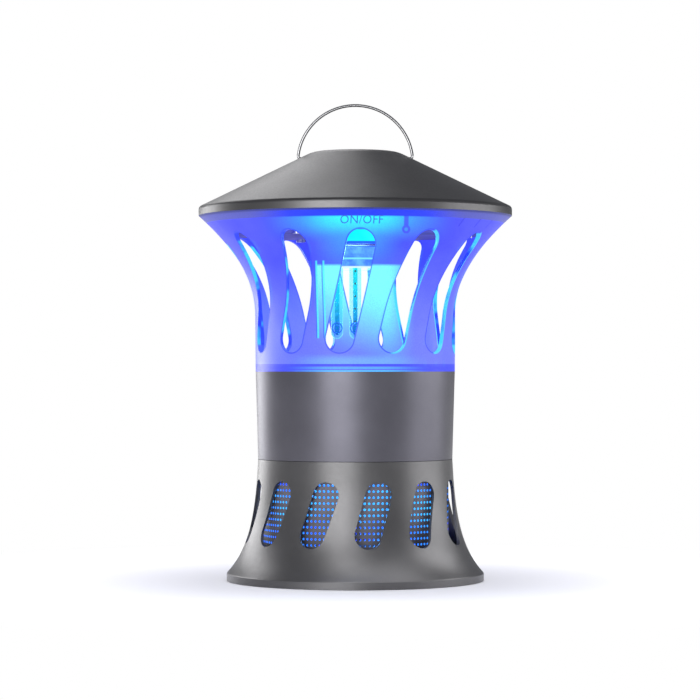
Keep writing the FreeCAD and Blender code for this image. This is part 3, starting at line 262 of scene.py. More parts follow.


# The shroud's colours are painted lamp light and painted shade, emitted and following place. A
# pair of places below is a span for Shader.span, which gives nought at the first place and one at
# the second.

# The painted shadows of the snap tabs at the shroud's mouth, which show dimly through it:
# headings in degrees, heights, and how far the shade of each reaches from its heading.
MOUTH_TABS = (45.0, 55.0, 64.5)
MOUTH_TAB_LOW = (211.0 * MM, 211.6 * MM)
MOUTH_TAB_HIGH = (218.5 * MM, 217.9 * MM)
MOUTH_TAB_HALF = (math.radians(0.65), math.radians(0.35))
# The lead channel's two ribs behind the front wall, drawn as painted shade and highlight lines:
# sideways place of each at its lower end.
RIB_FEET = (-21.8 * MM, -17.6 * MM)
RIB_LEAN = -1.1 * MM
RIB_LOW = 145.5 * MM
RIB_HIGH = 191.5 * MM
# Each rib's two lines, a painted shade line then a painted highlight line: sideways shift, half
# width, strength and tint.
RIB_SHADE_AND_GLINT_LINES = (
    (-0.9 * MM, 0.35 * MM, 0.75, (0.035, 0.10, 0.80)),
    (0.0, 0.5 * MM, 0.8, (0.07, 0.86, 1.0)),
)
# Lines across the shroud's foot, cyan with painted lamp light at the front centre: lowest and
# highest z, tint at the sides and at the centre.
FOOT_LINES = (
    (129.4 * MM, 131.0 * MM, (0.060, 0.075, 0.92), (0.060, 0.066, 0.80)),
    (127.9 * MM, 129.0 * MM, (0.050, 0.065, 0.90), (0.10, 0.48, 1.0)),
    (126.2 * MM, 127.2 * MM, (0.045, 0.060, 0.55), (0.09, 0.66, 0.95)),
)
FOOT_LINE_EDGE = 0.4 * MM
# Where the foot's painted blue glow and the painted lamp light above it start, and how wide their
# lit centre is.
FOOT_TOP = (130.6 * MM, 130.3 * MM)
ABOVE_FOOT = (137.5 * MM, 132.5 * MM)
FOOT_CENTRE = (45 * MM, 12 * MM)
# The latch tab behind the wall, shown only as its painted shadow: sideways place, catch height,
# catch radius, tab's half width.
TAB_SIDE = 29.3 * MM
TAB_CATCH = 208.8 * MM
TAB_CATCH_RADIUS = 1.75 * MM
TAB_HALF = 1.35 * MM
CATCH_RIM = (0.9 * MM, 0.4 * MM)
# The shroud's slots: middle height, half height, lean of each end, half width, first heading
# and step in degrees, and the width of the painted shade line round each, which takes a painted
# highlight on the right edges.
SLOT_MIDDLE = 173.2 * MM
SLOT_RISE = 27.45 * MM
SLOT_LEAN = 6.6 * MM
SLOT_HALF = 8.25 * MM
SLOT_HEADING = -2.6
SLOT_STEP = 30.0
OUTLINE = 0.75 * MM
# Where the wall's painted glow pales downwards, how far round the front the painted lamp light
# and the painted shadows show, and the sideways place of the painted light's middle.
PALING = (205 * MM, 145 * MM)
FRONT = (0, -35 * MM)
FRONT_HALF = (0, -10 * MM)
GLOW_SIDE = 1 * MM
# Cyan pools of painted lamp light round the lamp's top: reach to each side, heights, strength and
# tint.
LAMP_LIGHT_POOLS = (
    ((60 * MM, 4 * MM), (200 * MM, 216.5 * MM), 0.92, (0.026, 0.60, 0.94)),
    ((30 * MM, 6 * MM), (180 * MM, 206 * MM), 0.75, (0.045, 0.36, 0.98)),
    ((34 * MM, 6 * MM), (204 * MM, 216 * MM), 1.0, (0.030, 0.94, 1.0)),
)
# The painted pool of bright lamp light on the wall in front of the lamp's tubes: its left, right,
# depth and top edges, and the slanting fade downwards.
PATCH_LEFT = (-23.6 * MM, -21.8 * MM)
PATCH_RIGHT = (36 * MM, 18 * MM)
PATCH_DEPTH = (0, 35 * MM)
PATCH_TOP = (189.5 * MM, 187.5 * MM)
PATCH_FADE = (132 * MM, 181 * MM)
PATCH_SLANT = 0.35
# The rim at the shroud's mouth, painted lamp light at its centre, painted shade at its sides and
# painted shadow on the lip under the lid: where it starts, its centre part, and the lip under the
# lid.
RIM_START = (215.4 * MM, 216.4 * MM)
RIM_CENTRE = (66 * MM, 36 * MM)
RIM_LIP = (219 * MM, 220 * MM)


def slot_outline(shader, x, y, z, heading):
    """One along the edges of the leaning slots, and the distance across the nearest slot."""
    turned = shader.math("SUBTRACT", heading, math.radians(SLOT_HEADING - SLOT_STEP / 2))
    folded = shader.math("FLOORED_MODULO", turned, math.radians(SLOT_STEP))
    off = shader.math("SUBTRACT", folded, math.radians(SLOT_STEP / 2))
    side = shader.product(shader.distance(x, y), shader.math("SINE", off))
    rise = shader.math("SUBTRACT", z, SLOT_MIDDLE)
    length = math.hypot(SLOT_RISE, SLOT_LEAN)
    along = shader.math("ADD", shader.product(side, SLOT_LEAN / length),
                        shader.product(rise, SLOT_RISE / length))
    across = shader.math("SUBTRACT", shader.product(side, SLOT_RISE / length),
                         shader.product(rise, SLOT_LEAN / length))
    past_end = shader.math("MAXIMUM", shader.math(
        "SUBTRACT", shader.math("ABSOLUTE", along), length), 0.0)
    reach = shader.distance(across, past_end)
    return shader.span(reach, SLOT_HALF + OUTLINE * 1.3, SLOT_HALF + OUTLINE * 0.7), across


def channel_ribs(shader, x, y, z, shift, half):
    """One on two thin upright lines where the ribs get painted shade and highlight, moved
    sideways.
    """
    lean = shader.span(z, RIB_LOW, RIB_HIGH, 0.0, RIB_LEAN)
    upright = shader.math("SUBTRACT", x, lean)
    mask = shader.largest([shader.span(shader.gap(upright, foot + shift), half * 1.4, half * 0.6)
                           for foot in RIB_FEET])
    within = shader.product(shader.span(z, RIB_LOW, RIB_LOW + MM),
                            shader.span(z, RIB_HIGH, RIB_HIGH - MM))
    return shader.product(mask, within, shader.span(y, *FRONT_HALF))


def mouth_tab_shadows(shader, z, heading):
    """One on the painted shadows of the small tabs behind the shroud's mouth."""
    mask = shader.largest([shader.span(shader.gap(heading, math.radians(mark)), *MOUTH_TAB_HALF)
                           for mark in MOUTH_TABS])
    return shader.product(mask, shader.span(z, *MOUTH_TAB_LOW), shader.span(z, *MOUTH_TAB_HIGH))


def latch_tab(shader, x, y, z):
    """The painted shadow of the latch tab and its round catch behind the front wall."""
    aside = shader.gap(x, TAB_SIDE)
    bar = shader.product(shader.span(aside, TAB_HALF * 1.3, TAB_HALF * 0.7),
                         shader.span(z, TAB_CATCH, TAB_CATCH + TAB_CATCH_RADIUS))
    reach = shader.distance(aside, shader.math("SUBTRACT", z, TAB_CATCH))
    catch = shader.span(shader.gap(reach, TAB_CATCH_RADIUS), *CATCH_RIM)
    return shader.product(shader.largest([bar, catch]), shader.span(y, *FRONT_HALF))


def cut_faces(shader, x, y):
    """One on the slots' cut faces, whose normals lie across the radius, and nought elsewhere."""
    normal = separate(shader, shader.node("TexCoord").outputs["Normal"])
    radial = shader.math("ADD", shader.product(x, normal[0]), shader.product(y, normal[1]))
    facing = shader.math("ABSOLUTE", shader.math("DIVIDE", radial, shader.distance(x, y)))
    level = shader.span(shader.math("ABSOLUTE", normal[2]), 0.5, 0.3)
    return shader.product(shader.span(facing, 0.4, 0.2), level)


def painted_lamp_light(shader, x, y, z, aside):
    """The wall's painted lamp light: blue, with cyan pools round the lamp's top and before its
    tubes.
    """
    tone = shader.math("ADD", shader.span(z, *PALING),
                       shader.span(shader.noise(28, 3), 0.3, 0.7, -0.15, 0.15))
    colour = shader.mix(tone, rgb(0.050, 0.058, 0.90), rgb(0.150, 0.185, 0.95))
    for sides, heights, strength, tint in LAMP_LIGHT_POOLS:
        painted_pool = shader.product(shader.span(aside, *sides), shader.span(z, *heights),
                              shader.span(y, *FRONT), strength)
        colour = shader.mix(painted_pool, colour, rgb(*tint))
    # Painted pool of lamp light before the tubes, fading on a slant downwards.
    slant = shader.math("ADD", z, shader.product(x, PATCH_SLANT))
    patch = shader.product(
        shader.span(x, *PATCH_LEFT), shader.span(x, *PATCH_RIGHT),
        shader.span(shader.math("ABSOLUTE", y), *PATCH_DEPTH),
        shader.span(z, *PATCH_TOP), shader.span(slant, *PATCH_FADE))
    return shader.mix(patch, colour, rgb(0.20, 0.94, 1.0))


def wall_shade_and_glints(shader, x, y, z, colour):
    """Painted shade and highlights of what shows dimly through the wall: tabs, ribs, the latch,
    and the slots' edges.
    """
    heading = shader.math("ARCTAN2", x, shader.product(y, -1.0))
    colour = shader.mix(mouth_tab_shadows(shader, z, heading), colour, rgb(0.030, 0.036, 0.60))
    for shift, half, strength, tint in RIB_SHADE_AND_GLINT_LINES:
        rib = shader.product(channel_ribs(shader, x, y, z, shift, half), strength)
        colour = shader.mix(rib, colour, rgb(*tint))
    latch = shader.product(latch_tab(shader, x, y, z), 0.85)
    colour = shader.mix(latch, colour, rgb(0.045, 0.055, 0.85))
    # Painted shade lines round the slots, with a painted cyan highlight on their right edges near
    # the front.
    outline, across = slot_outline(shader, x, y, z, heading)
    right_glint = shader.product(shader.span(across, 0, 2 * MM), shader.span(x, 8 * MM, 28 * MM))
    tint = shader.mix(right_glint, rgb(0.030, 0.055, 0.82), rgb(0.07, 0.78, 1.0))
    return shader.mix(shader.product(outline, 0.75), colour, tint)


def foot_and_rim(shader, z, aside, colour):
    """The foot's lines with painted lamp light at and above it, and painted shade at the mouth's
    rim.
    """
    centre = shader.span(aside, *FOOT_CENTRE)
    glow_above_foot = shader.product(shader.span(z, *ABOVE_FOOT), centre, 0.5)
    colour = shader.mix(glow_above_foot, colour, rgb(0.20, 0.58, 1.0))
    foot = shader.mix(centre, rgb(0.050, 0.068, 0.90), rgb(0.105, 0.20, 0.96))
    colour = shader.mix(shader.span(z, *FOOT_TOP), colour, foot)
    for low, high, side_tint, centre_tint in FOOT_LINES:
        line = shader.product(shader.span(z, low, low + FOOT_LINE_EDGE),
                              shader.span(z, high, high - FOOT_LINE_EDGE))
        tint = shader.mix(centre, rgb(*side_tint), rgb(*centre_tint))
        colour = shader.mix(line, colour, tint)
    # Painted shade at the rim's sides, painted lamp light at its centre, painted shadow under the
    # lid.
    rim = shader.mix(shader.span(aside, *RIM_CENTRE), rgb(0.085, 0.092, 0.34),
                     rgb(0.010, 0.034, 0.74))
    rim = shader.mix(shader.span(z, *RIM_LIP), rim, rgb(0.030, 0.034, 0.12))
    return shader.mix(shader.span(z, *RIM_START), colour, rim)


def frosted_shroud():
    """Frosted plastic with the ultraviolet lamp's light painted in: blue in the wall, cyan near
    the lamp.
    """
    shader = Shader("frosted_shroud")
    x, y, z = separate(shader, shader.position())
    grain = shader.noise(1500, 2, 0.7)
    aside = shader.gap(x, GLOW_SIDE)
    blue = painted_lamp_light(shader, x, y, z, aside)
    blue = wall_shade_and_glints(shader, x, y, z, blue)
    blue = foot_and_rim(shader, z, aside, blue)
    # Painted glow on the slots' cut faces, deep blue with patches of cyan.
    cut_face_glow = shader.mix(shader.span(shader.noise(60, 2), 0.42, 0.58),
                           rgb(0.012, 0.030, 0.85), rgb(0.05, 0.62, 0.95))
    blue = shader.mix(cut_faces(shader, x, y), blue, cut_face_glow)
    # The wall's colour is emitted: painted lamp light and shade, standing in for light through
    # the plastic.
    glow = shader.emission(blue, shader.span(grain, 0.3, 0.7, 0.90, 1.08))
    skin = shader.principled(Base_Color=rgb(0.015, 0.02, 0.16), Roughness=0.42, IOR=1.3,
                             Normal=shader.bump(grain, 0.03 * MM, 0.5))
    haze = shader.node("BsdfRefraction")
    haze.inputs["Color"].default_value = rgb(0.25, 0.45, 1.0)
    haze.inputs["Roughness"].default_value = 0.2
    haze.inputs["IOR"].default_value = 1.06
    body = shader.mix_shaders(0.16, skin.outputs[0], haze.outputs[0])
    return shader.finish(shader.add_shaders(body, glow))


def milky(name, colour, glow, strength):
    """Milky plastic with light from inside painted in as emission, with soft clouding."""
    shader = Shader(name)
    cloud = shader.noise(150, 4, 0.6)
    tone = shader.span(cloud, 0.35, 0.65)
    surface = shader.principled(
        Base_Color=shader.mix(tone, dimmed(colour, 0.55), rgb(*colour)), Roughness=0.3,
        Emission_Color=shader.mix(tone, dimmed(glow, 0.45), rgb(*glow)),
        Emission_Strength=strength, Normal=shader.bump(cloud, 0.2 * MM, 0.4))
    return shader.finish(surface.outputs[0])


# Heights of the lines round the lamp holder: both edges of the pale seam, the painted shade on
# the shoulder above it and the painted light on the lip at the foot.
SEAM_LOW = (193.2 * MM, 193.6 * MM)
SEAM_HIGH = (194.6 * MM, 194.2 * MM)
SHOULDER_SHADE = (200.6 * MM, 201.2 * MM)
LIP_LIGHT = (189.6 * MM, 189.0 * MM)


def lamp_holder():
    """Cloudy plastic round the lamp's foot in painted lamp light, with painted shade at the top,
    a pale seam and a painted bright lip.
    """
    shader = Shader("frosted_holder")
    z = separate(shader, shader.position())[2]
    cloud = shader.span(shader.noise(110, 4, 0.6), 0.36, 0.64)
    colour = shader.mix(cloud, rgb(0.055, 0.17, 0.80), rgb(0.14, 0.46, 0.92))
    seam = shader.product(shader.span(z, *SEAM_LOW), shader.span(z, *SEAM_HIGH))
    colour = shader.mix(seam, colour, rgb(0.22, 0.84, 0.96))
    colour = shader.mix(shader.span(z, *SHOULDER_SHADE), colour, rgb(0.03, 0.09, 0.95))
    colour = shader.mix(shader.span(z, *LIP_LIGHT), colour, rgb(0.80, 0.98, 1.0))
    surface = shader.principled(
        Base_Color=rgb(0.01, 0.02, 0.06), Roughness=0.7, IOR=1.04, Emission_Color=colour,
        Emission_Strength=0.9, Normal=shader.bump(cloud, 0.2 * MM, 0.4))
    return shader.finish(surface.outputs[0])


def button_glow():
    """The power button: clear plastic brim-full of painted cyan lamp light, over painted deep
    blue shade at its foot.
    """
    shader = Shader("button_plastic")
    cloud = shader.span(shader.noise(90, 3), 0.3, 0.7)
    colour = shader.mix(cloud, rgb(0.006, 0.93, 0.93), rgb(0.018, 1.0, 1.0))
    z = separate(shader, shader.position())[2]
    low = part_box("power_button")[0].z
    # Painted shade: deep blue along the button's lower edge.
    foot = shader.span(z, low + 1.7 * MM, low + 1.2 * MM)
    colour = shader.mix(foot, colour, rgb(0.028, 0.09, 1.0))
    surface = shader.principled(
        Base_Color=rgb(0.004, 0.05, 0.06), Roughness=0.6, IOR=1.04, Emission_Color=colour,
        Emission_Strength=1.0, Normal=shader.bump(cloud, 0.1 * MM, 0.3))
    return shader.finish(surface.outputs[0])


def legend_tint():
    """The raised legend: the shroud's own plastic, with painted lamp light a little deeper in
    tone.
    """
    shader = Shader("legend_tint")
    grain = shader.span(shader.noise(900, 2), 0.3, 0.7, 0.85, 1.1)
    surface = shader.principled(
        Base_Color=rgb(0.01, 0.03, 0.2), Roughness=0.5,
        Emission_Color=rgb(0.012, 0.13, 0.52), Emission_Strength=grain)
    return shader.finish(surface.outputs[0])


def lamp_glass():
    """Clear thin glass: see-through, with bright edges."""
    shader = Shader("lamp_glass")
    streak = shader.noise(300, 2)
    clear = shader.node("BsdfTransparent")
    clear.inputs["Color"].default_value = rgb(0.82, 0.97, 1.0)
    gloss = shader.principled(Base_Color=rgb(0.3, 0.8, 0.95), Roughness=0.05,
                              Emission_Color=rgb(0.25, 0.95, 1.0), Emission_Strength=0.55,
                              Normal=shader.bump(streak, 0.02 * MM, 0.3))
    facing = shader.node("LayerWeight")
    facing.inputs["Blend"].default_value = 0.35
    edge = shader.span(facing.outputs["Facing"], 0.35, 0.95, 0.05, 0.8)
    return shader.finish(shader.mix_shaders(edge, clear.outputs[0], gloss.outputs[0]))


def lamp_core():
    """The lit gas column: cyan at the top, deeper blue towards the bend."""
    shader = Shader("lamp_core")
    z = separate(shader, shader.position())[2]
    low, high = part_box("uv_lamp_tubes")
    height = shader.span(z, low.z, high.z - 8 * MM)
    colour = shader.mix(height, rgb(0.0, 0.13, 0.62), rgb(0.0, 0.72, 0.85))
    ripple = shader.span(shader.noise(700, 2), 0.3, 0.7, 0.9, 1.25)
    return shader.finish(shader.emission(colour, ripple))


def bend_ring():
    """A painted glint: the deep blue line where the glass turns away."""
    shader = Shader("bend_ring")
    ripple = shader.noise(400, 2)
    surface = shader.principled(
        Base_Color=rgb(0.01, 0.04, 0.2), Roughness=0.15, Emission_Color=rgb(0.015, 0.11, 0.62),
        Emission_Strength=shader.span(ripple, 0.3, 0.7, 0.8, 1.1))
    return shader.finish(surface.outputs[0])


def lit_black_plastic():
    """Black plastic with the ultraviolet lamp's blue light painted in as glow."""
    shader = Shader("lit_black_plastic")
    grain = shader.noise(1500, 3)
    spill = shader.span(shader.noise(40, 3), 0.3, 0.7, 0.6, 1.1)
    surface = shader.principled(
        Base_Color=rgb(0.008, 0.008, 0.022), Roughness=0.7, IOR=1.25,
        Emission_Color=rgb(0.060, 0.055, 0.40), Emission_Strength=spill,
        Normal=shader.bump(grain, 0.04 * MM, 0.5))
    return shader.finish(surface.outputs[0])


# The height band over which the painted lamp light on the basket's inner wall is brightest: its
# lower and upper edges.
WASH_LOW = (28 * MM, 44 * MM)
WASH_HIGH = (62 * MM, 50 * MM)


def lit_basket():
    """The basket's inner wall, with the lamp's light that falls past the fan painted in as glow.
    """
    shader = Shader("lit_basket")
    z = separate(shader, shader.position())[2]
    cloud = shader.span(shader.noise(45, 2), 0.35, 0.65, -0.1, 0.45)
    painted_pool = shader.product(shader.span(z, *WASH_LOW), shader.span(z, *WASH_HIGH), 0.5)
    colour = shader.mix(shader.math("ADD", painted_pool, cloud), rgb(0.012, 0.050, 1.0),
                        rgb(0.03, 0.45, 1.0))
    skin = shader.principled(Base_Color=rgb(0.03, 0.03, 0.06), Roughness=0.5)
    return shader.finish(shader.add_shaders(skin.outputs[0], shader.emission(colour, 1.6)))


def laminate():
    """Green solder mask over faint copper tracks."""
    shader = Shader("circuit_laminate")
    tracks = shader.node("TexBrick")
    shader.link(shader.position(260), tracks.inputs["Vector"])
    tracks.inputs["Color1"].default_value = rgb(0.010, 0.085, 0.035)
    tracks.inputs["Color2"].default_value = rgb(0.014, 0.110, 0.045)
    tracks.inputs["Mortar"].default_value = rgb(0.06, 0.20, 0.07)
    tracks.inputs["Mortar Size"].default_value = 0.03
    surface = shader.principled(Base_Color=tracks.outputs["Color"], Roughness=0.3)
    return shader.finish(surface.outputs[0])


def winding(name, colour):
    """Enamelled wire laid side by side."""
    shader = Shader(name)
    wave = shader.node("TexWave", bands_direction="Z")
    shader.link(shader.position(), wave.inputs["Vector"])
    wave.inputs["Scale"].default_value = 260
    wave.inputs["Distortion"].default_value = 0.4
    turns = wave.outputs["Fac"]
    base = shader.mix(turns, dimmed(colour, 0.35), rgb(*colour))
    surface = shader.principled(Base_Color=base, Metallic=0.7, Roughness=0.35,
                                Normal=shader.bump(turns, 0.2 * MM, 0.7))
    return shader.finish(surface.outputs[0])


MATERIALS = {
    "gunmetal_paint": gunmetal(),
    "black_plastic": moulded("black_plastic", (0.014, 0.014, 0.016), 0.45),
    "lit_black_plastic": lit_black_plastic(),
    "dark_plastic": moulded("dark_plastic", (0.022, 0.023, 0.028), 0.5),
    "guard_plastic": moulded("guard_plastic", (0.05, 0.06, 0.16), 0.45),
    "button_plastic": button_glow(),
    "basket_plastic": moulded("basket_plastic", (0.12, 0.12, 0.155), 0.5),
    "frosted_shroud": frosted_shroud(),
    "frosted_holder": lamp_holder(),
    "lamp_base_plastic": milky("lamp_base_plastic", (0.8, 0.9, 0.95), (0.6, 1.0, 1.0), 1.2),
    "lit_basket": lit_basket(),
    "lamp_glass": lamp_glass(),
    "bail_chrome": metal("bail_chrome", (0.40, 0.40, 0.41), 0.2),
    "zinc_steel": metal("zinc_steel", (0.52, 0.52, 0.55), 0.3),
    "motor_steel": metal("motor_steel", (0.5, 0.5, 0.53), 0.28),
    "contact_metal": metal("contact_metal", (0.78, 0.62, 0.3), 0.2),
    "circuit_laminate": laminate(),
    "ferrite": moulded("ferrite", (0.035, 0.035, 0.038), 0.6, 900, 0.1 * MM),
    "copper_winding": winding("copper_winding", (0.62, 0.22, 0.08)),
    "capacitor_sleeve": moulded("capacitor_sleeve", (0.02, 0.03, 0.1), 0.25),
    "relay_case": moulded("relay_case", (0.02, 0.05, 0.22), 0.3),
    "lead_sleeve": moulded("lead_sleeve", (0.12, 0.14, 0.5), 0.4),
    "foot_rubber": moulded("foot_rubber", (0.012, 0.012, 0.013), 0.8, 1200, 0.1 * MM),
}
# Nodes beside the lamp that take its light, and the material that paints it in as glow.
LIT_NODES = {"lid_tray": "lit_black_plastic", "switch_body": "lit_black_plastic"}
SMOOTH_ANGLE = math.radians(35)


def dress_nodes():
    """Give every CAD node the material of its slot, or a lit one beside the lamp."""
    for row in frame["record"]["subparts"]:
        mesh = nodes[row["node"]].data
        mesh.materials.clear()
        slot = LIT_NODES.get(row["node"], row["material_slot"])
        mesh.materials.append(MATERIALS[slot])


def add_mesh(name, bm, body, slot, material=None):
    """A piece made from a bmesh, riding on a body, with a slot's finish or its own."""
    mesh = bpy.data.meshes.new(name)
    bm.to_mesh(mesh)
    bm.free()
    piece = bpy.data.objects.new(name, mesh)
    bpy.context.scene.collection.objects.link(piece)
    mesh.materials.append(material or MATERIALS[slot])
    mesh.shade_smooth()
    mesh.set_sharp_from_angle(angle=SMOOTH_ANGLE)
    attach(piece, body)
    return piece


def on_ring(radius, heading, height):
    """A point at a radius, a heading in radians and a height."""
    return Vector((radius * math.sin(heading), -radius * math.cos(heading), height))


def bridge(bm, first, second):
    """The faces between two closed rings with as many points."""
    faces = []
    for corner in range(len(first)):
        following = (corner + 1) % len(first)
        faces.append(bm.faces.new((first[corner], first[following], second[following],
                                   second[corner])))
    return faces


# --------------------------------------------------------------------------- lamp

TUBE_RADIUS = 3.6 * MM
CORE_RADIUS = 1.35 * MM
BEND_RADIUS = 6.5 * MM
TUBE_SPACING = 11 * MM
LEG_STEPS = 10
BEND_STEPS = 12
# The dark dots on the front legs: radius, step down the leg, and clear ends of the leg.
DOT_RADIUS = 0.62 * MM
DOT_STEP = 7.6 * MM
DOT_TOP_GAP = 6.5 * MM
DOT_FOOT_GAP = 8 * MM
# Painted glint rings in the glass where each front leg turns into its bend: radius and thickness.
BEND_GLINTS = ((3.0 * MM, 0.36 * MM), (1.6 * MM, 0.28 * MM))
RING_SINK = 0.3 * MM


def u_path(x, low, high):
    """Points down one leg of a U tube, round its bend and up the other leg."""
    centre = low + TUBE_RADIUS + BEND_RADIUS
    points = []
    for step in range(LEG_STEPS):
        points.append(Vector((x, -BEND_RADIUS, high + (centre - high) * step / LEG_STEPS)))
    for step in range(BEND_STEPS + 1):
        angle = math.pi * step / BEND_STEPS
        points.append(Vector((x, -BEND_RADIUS * math.cos(angle),
                              centre - BEND_RADIUS * math.sin(angle))))
    for step in range(1, LEG_STEPS + 1):
        points.append(Vector((x, BEND_RADIUS, centre + (high - centre) * step / LEG_STEPS)))
    return points


def add_tube(bm, points, radius, sides=20):
    """A closed round tube along points that lie in a plane across X."""
    rings = []
    for index, point in enumerate(points):
        before = points[max(index - 1, 0)]
        after = points[min(index + 1, len(points) - 1)]
        along = (after - before).normalized()
        side = Vector((1, 0, 0))
        other = along.cross(side)
        ring = []
        for corner in range(sides):
            angle = 2 * math.pi * corner / sides
            ring.append(bm.verts.new(
                point + (side * math.cos(angle) + other * math.sin(angle)) * radius))
        rings.append(ring)
    for first, second in zip(rings, rings[1:]):
        bridge(bm, first, second)
    bm.faces.new(rings[0][::-1])
    bm.faces.new(rings[-1])


def add_ring(bm, centre, radius, wire, around=32, sides=8):
    """A thin ring that faces the front."""
    loops = []
    for step in range(around):
        angle = 2 * math.pi * step / around
        outward = Vector((math.cos(angle), 0, math.sin(angle)))
        loops.append([bm.verts.new(
            centre + outward * (radius + wire * math.cos(2 * math.pi * corner / sides))
            + Vector((0, wire * math.sin(2 * math.pi * corner / sides), 0)))
            for corner in range(sides)])
    for step in range(around):
        bridge(bm, loops[step], loops[(step + 1) % around])


def make_lamp():
    """Clear U tubes with lit cores, painted glint rings at the bends, and dots on the middle and
    right legs.
    """
    low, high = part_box("uv_lamp_tubes")
    glass = bmesh.new()
    core = bmesh.new()
    dots = bmesh.new()
    rings = bmesh.new()
    for index in (-1, 0, 1):
        path = u_path(index * TUBE_SPACING, low.z, high.z)
        add_tube(glass, path, TUBE_RADIUS)
        add_tube(core, path, CORE_RADIUS, sides=12)
        dot = high.z - DOT_TOP_GAP
        while index >= 0 and dot > low.z + DOT_FOOT_GAP:
            place = Matrix.Translation((index * TUBE_SPACING, -BEND_RADIUS - CORE_RADIUS, dot))
            bmesh.ops.create_icosphere(dots, subdivisions=2, radius=DOT_RADIUS, matrix=place)
            dot -= DOT_STEP
        ring_middle = Vector((index * TUBE_SPACING, RING_SINK - BEND_RADIUS - TUBE_RADIUS,
                              low.z + BEND_RADIUS))
        for reach, wire in BEND_GLINTS:
            add_ring(rings, ring_middle, reach, wire)
    for bm in (glass, core, dots, rings):
        bmesh.ops.recalc_face_normals(bm, faces=bm.faces)
    tubes = add_mesh("lamp_tube_glass", glass, "housing", "lamp_glass")
    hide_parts("uv_lamp_tubes")
    add_mesh("lamp_tube_cores", core, "housing", "lamp_glass", lamp_core())
    add_mesh("lamp_tube_dots", dots, "housing", "ferrite")
    add_mesh("lamp_bend_rings", rings, "housing", "lamp_glass", bend_ring())


# The glow strip's inset from the button's sides, its front and back before the button's face, how
# far it reaches down past the button's top, and its gap under the tray; it shows painted lamp
# light.
STRIP_INSET = 0.5 * MM
STRIP_FRONT = 3.6 * MM
STRIP_BACK = 0.1 * MM
STRIP_LAP = 0.3 * MM
STRIP_GAP = 0.02 * MM


def make_glow_strip():
    """A thin strip of painted lamp light between the power button and the tray over it."""
    low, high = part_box("power_button")
    near = Vector((low.x + STRIP_INSET, low.y - STRIP_FRONT, high.z - STRIP_LAP))
    far = Vector((high.x - STRIP_INSET, low.y - STRIP_BACK,
                  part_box("lid_tray")[0].z - STRIP_GAP))
    bm = bmesh.new()
    bmesh.ops.create_cube(bm, size=1)
    for vert in bm.verts:
        vert.co = Vector([far[axis] if vert.co[axis] > 0 else near[axis] for axis in range(3)])
    add_mesh("button_bezel", bm, "housing", "button_plastic")


# --------------------------------------------------------------------------- basket

BASKET_WALL = 1.2 * MM
HOLE_RADIUS = 0.72 * MM
HOLES_ROUND = 132
FIRST_ROW = 20.6 * MM
ROW_STEP = 3.53 * MM
HOLE_ROWS = 13
HOLE_SIDES = 8
# The basket's lip and the broken edges of its rim and its floor.
LIP_WIDTH = 0.8 * MM
RIM_BREAK = 0.3 * MM
FLOOR_BREAK = 0.6 * MM
FLOOR_CENTRE = 0.02 * MM


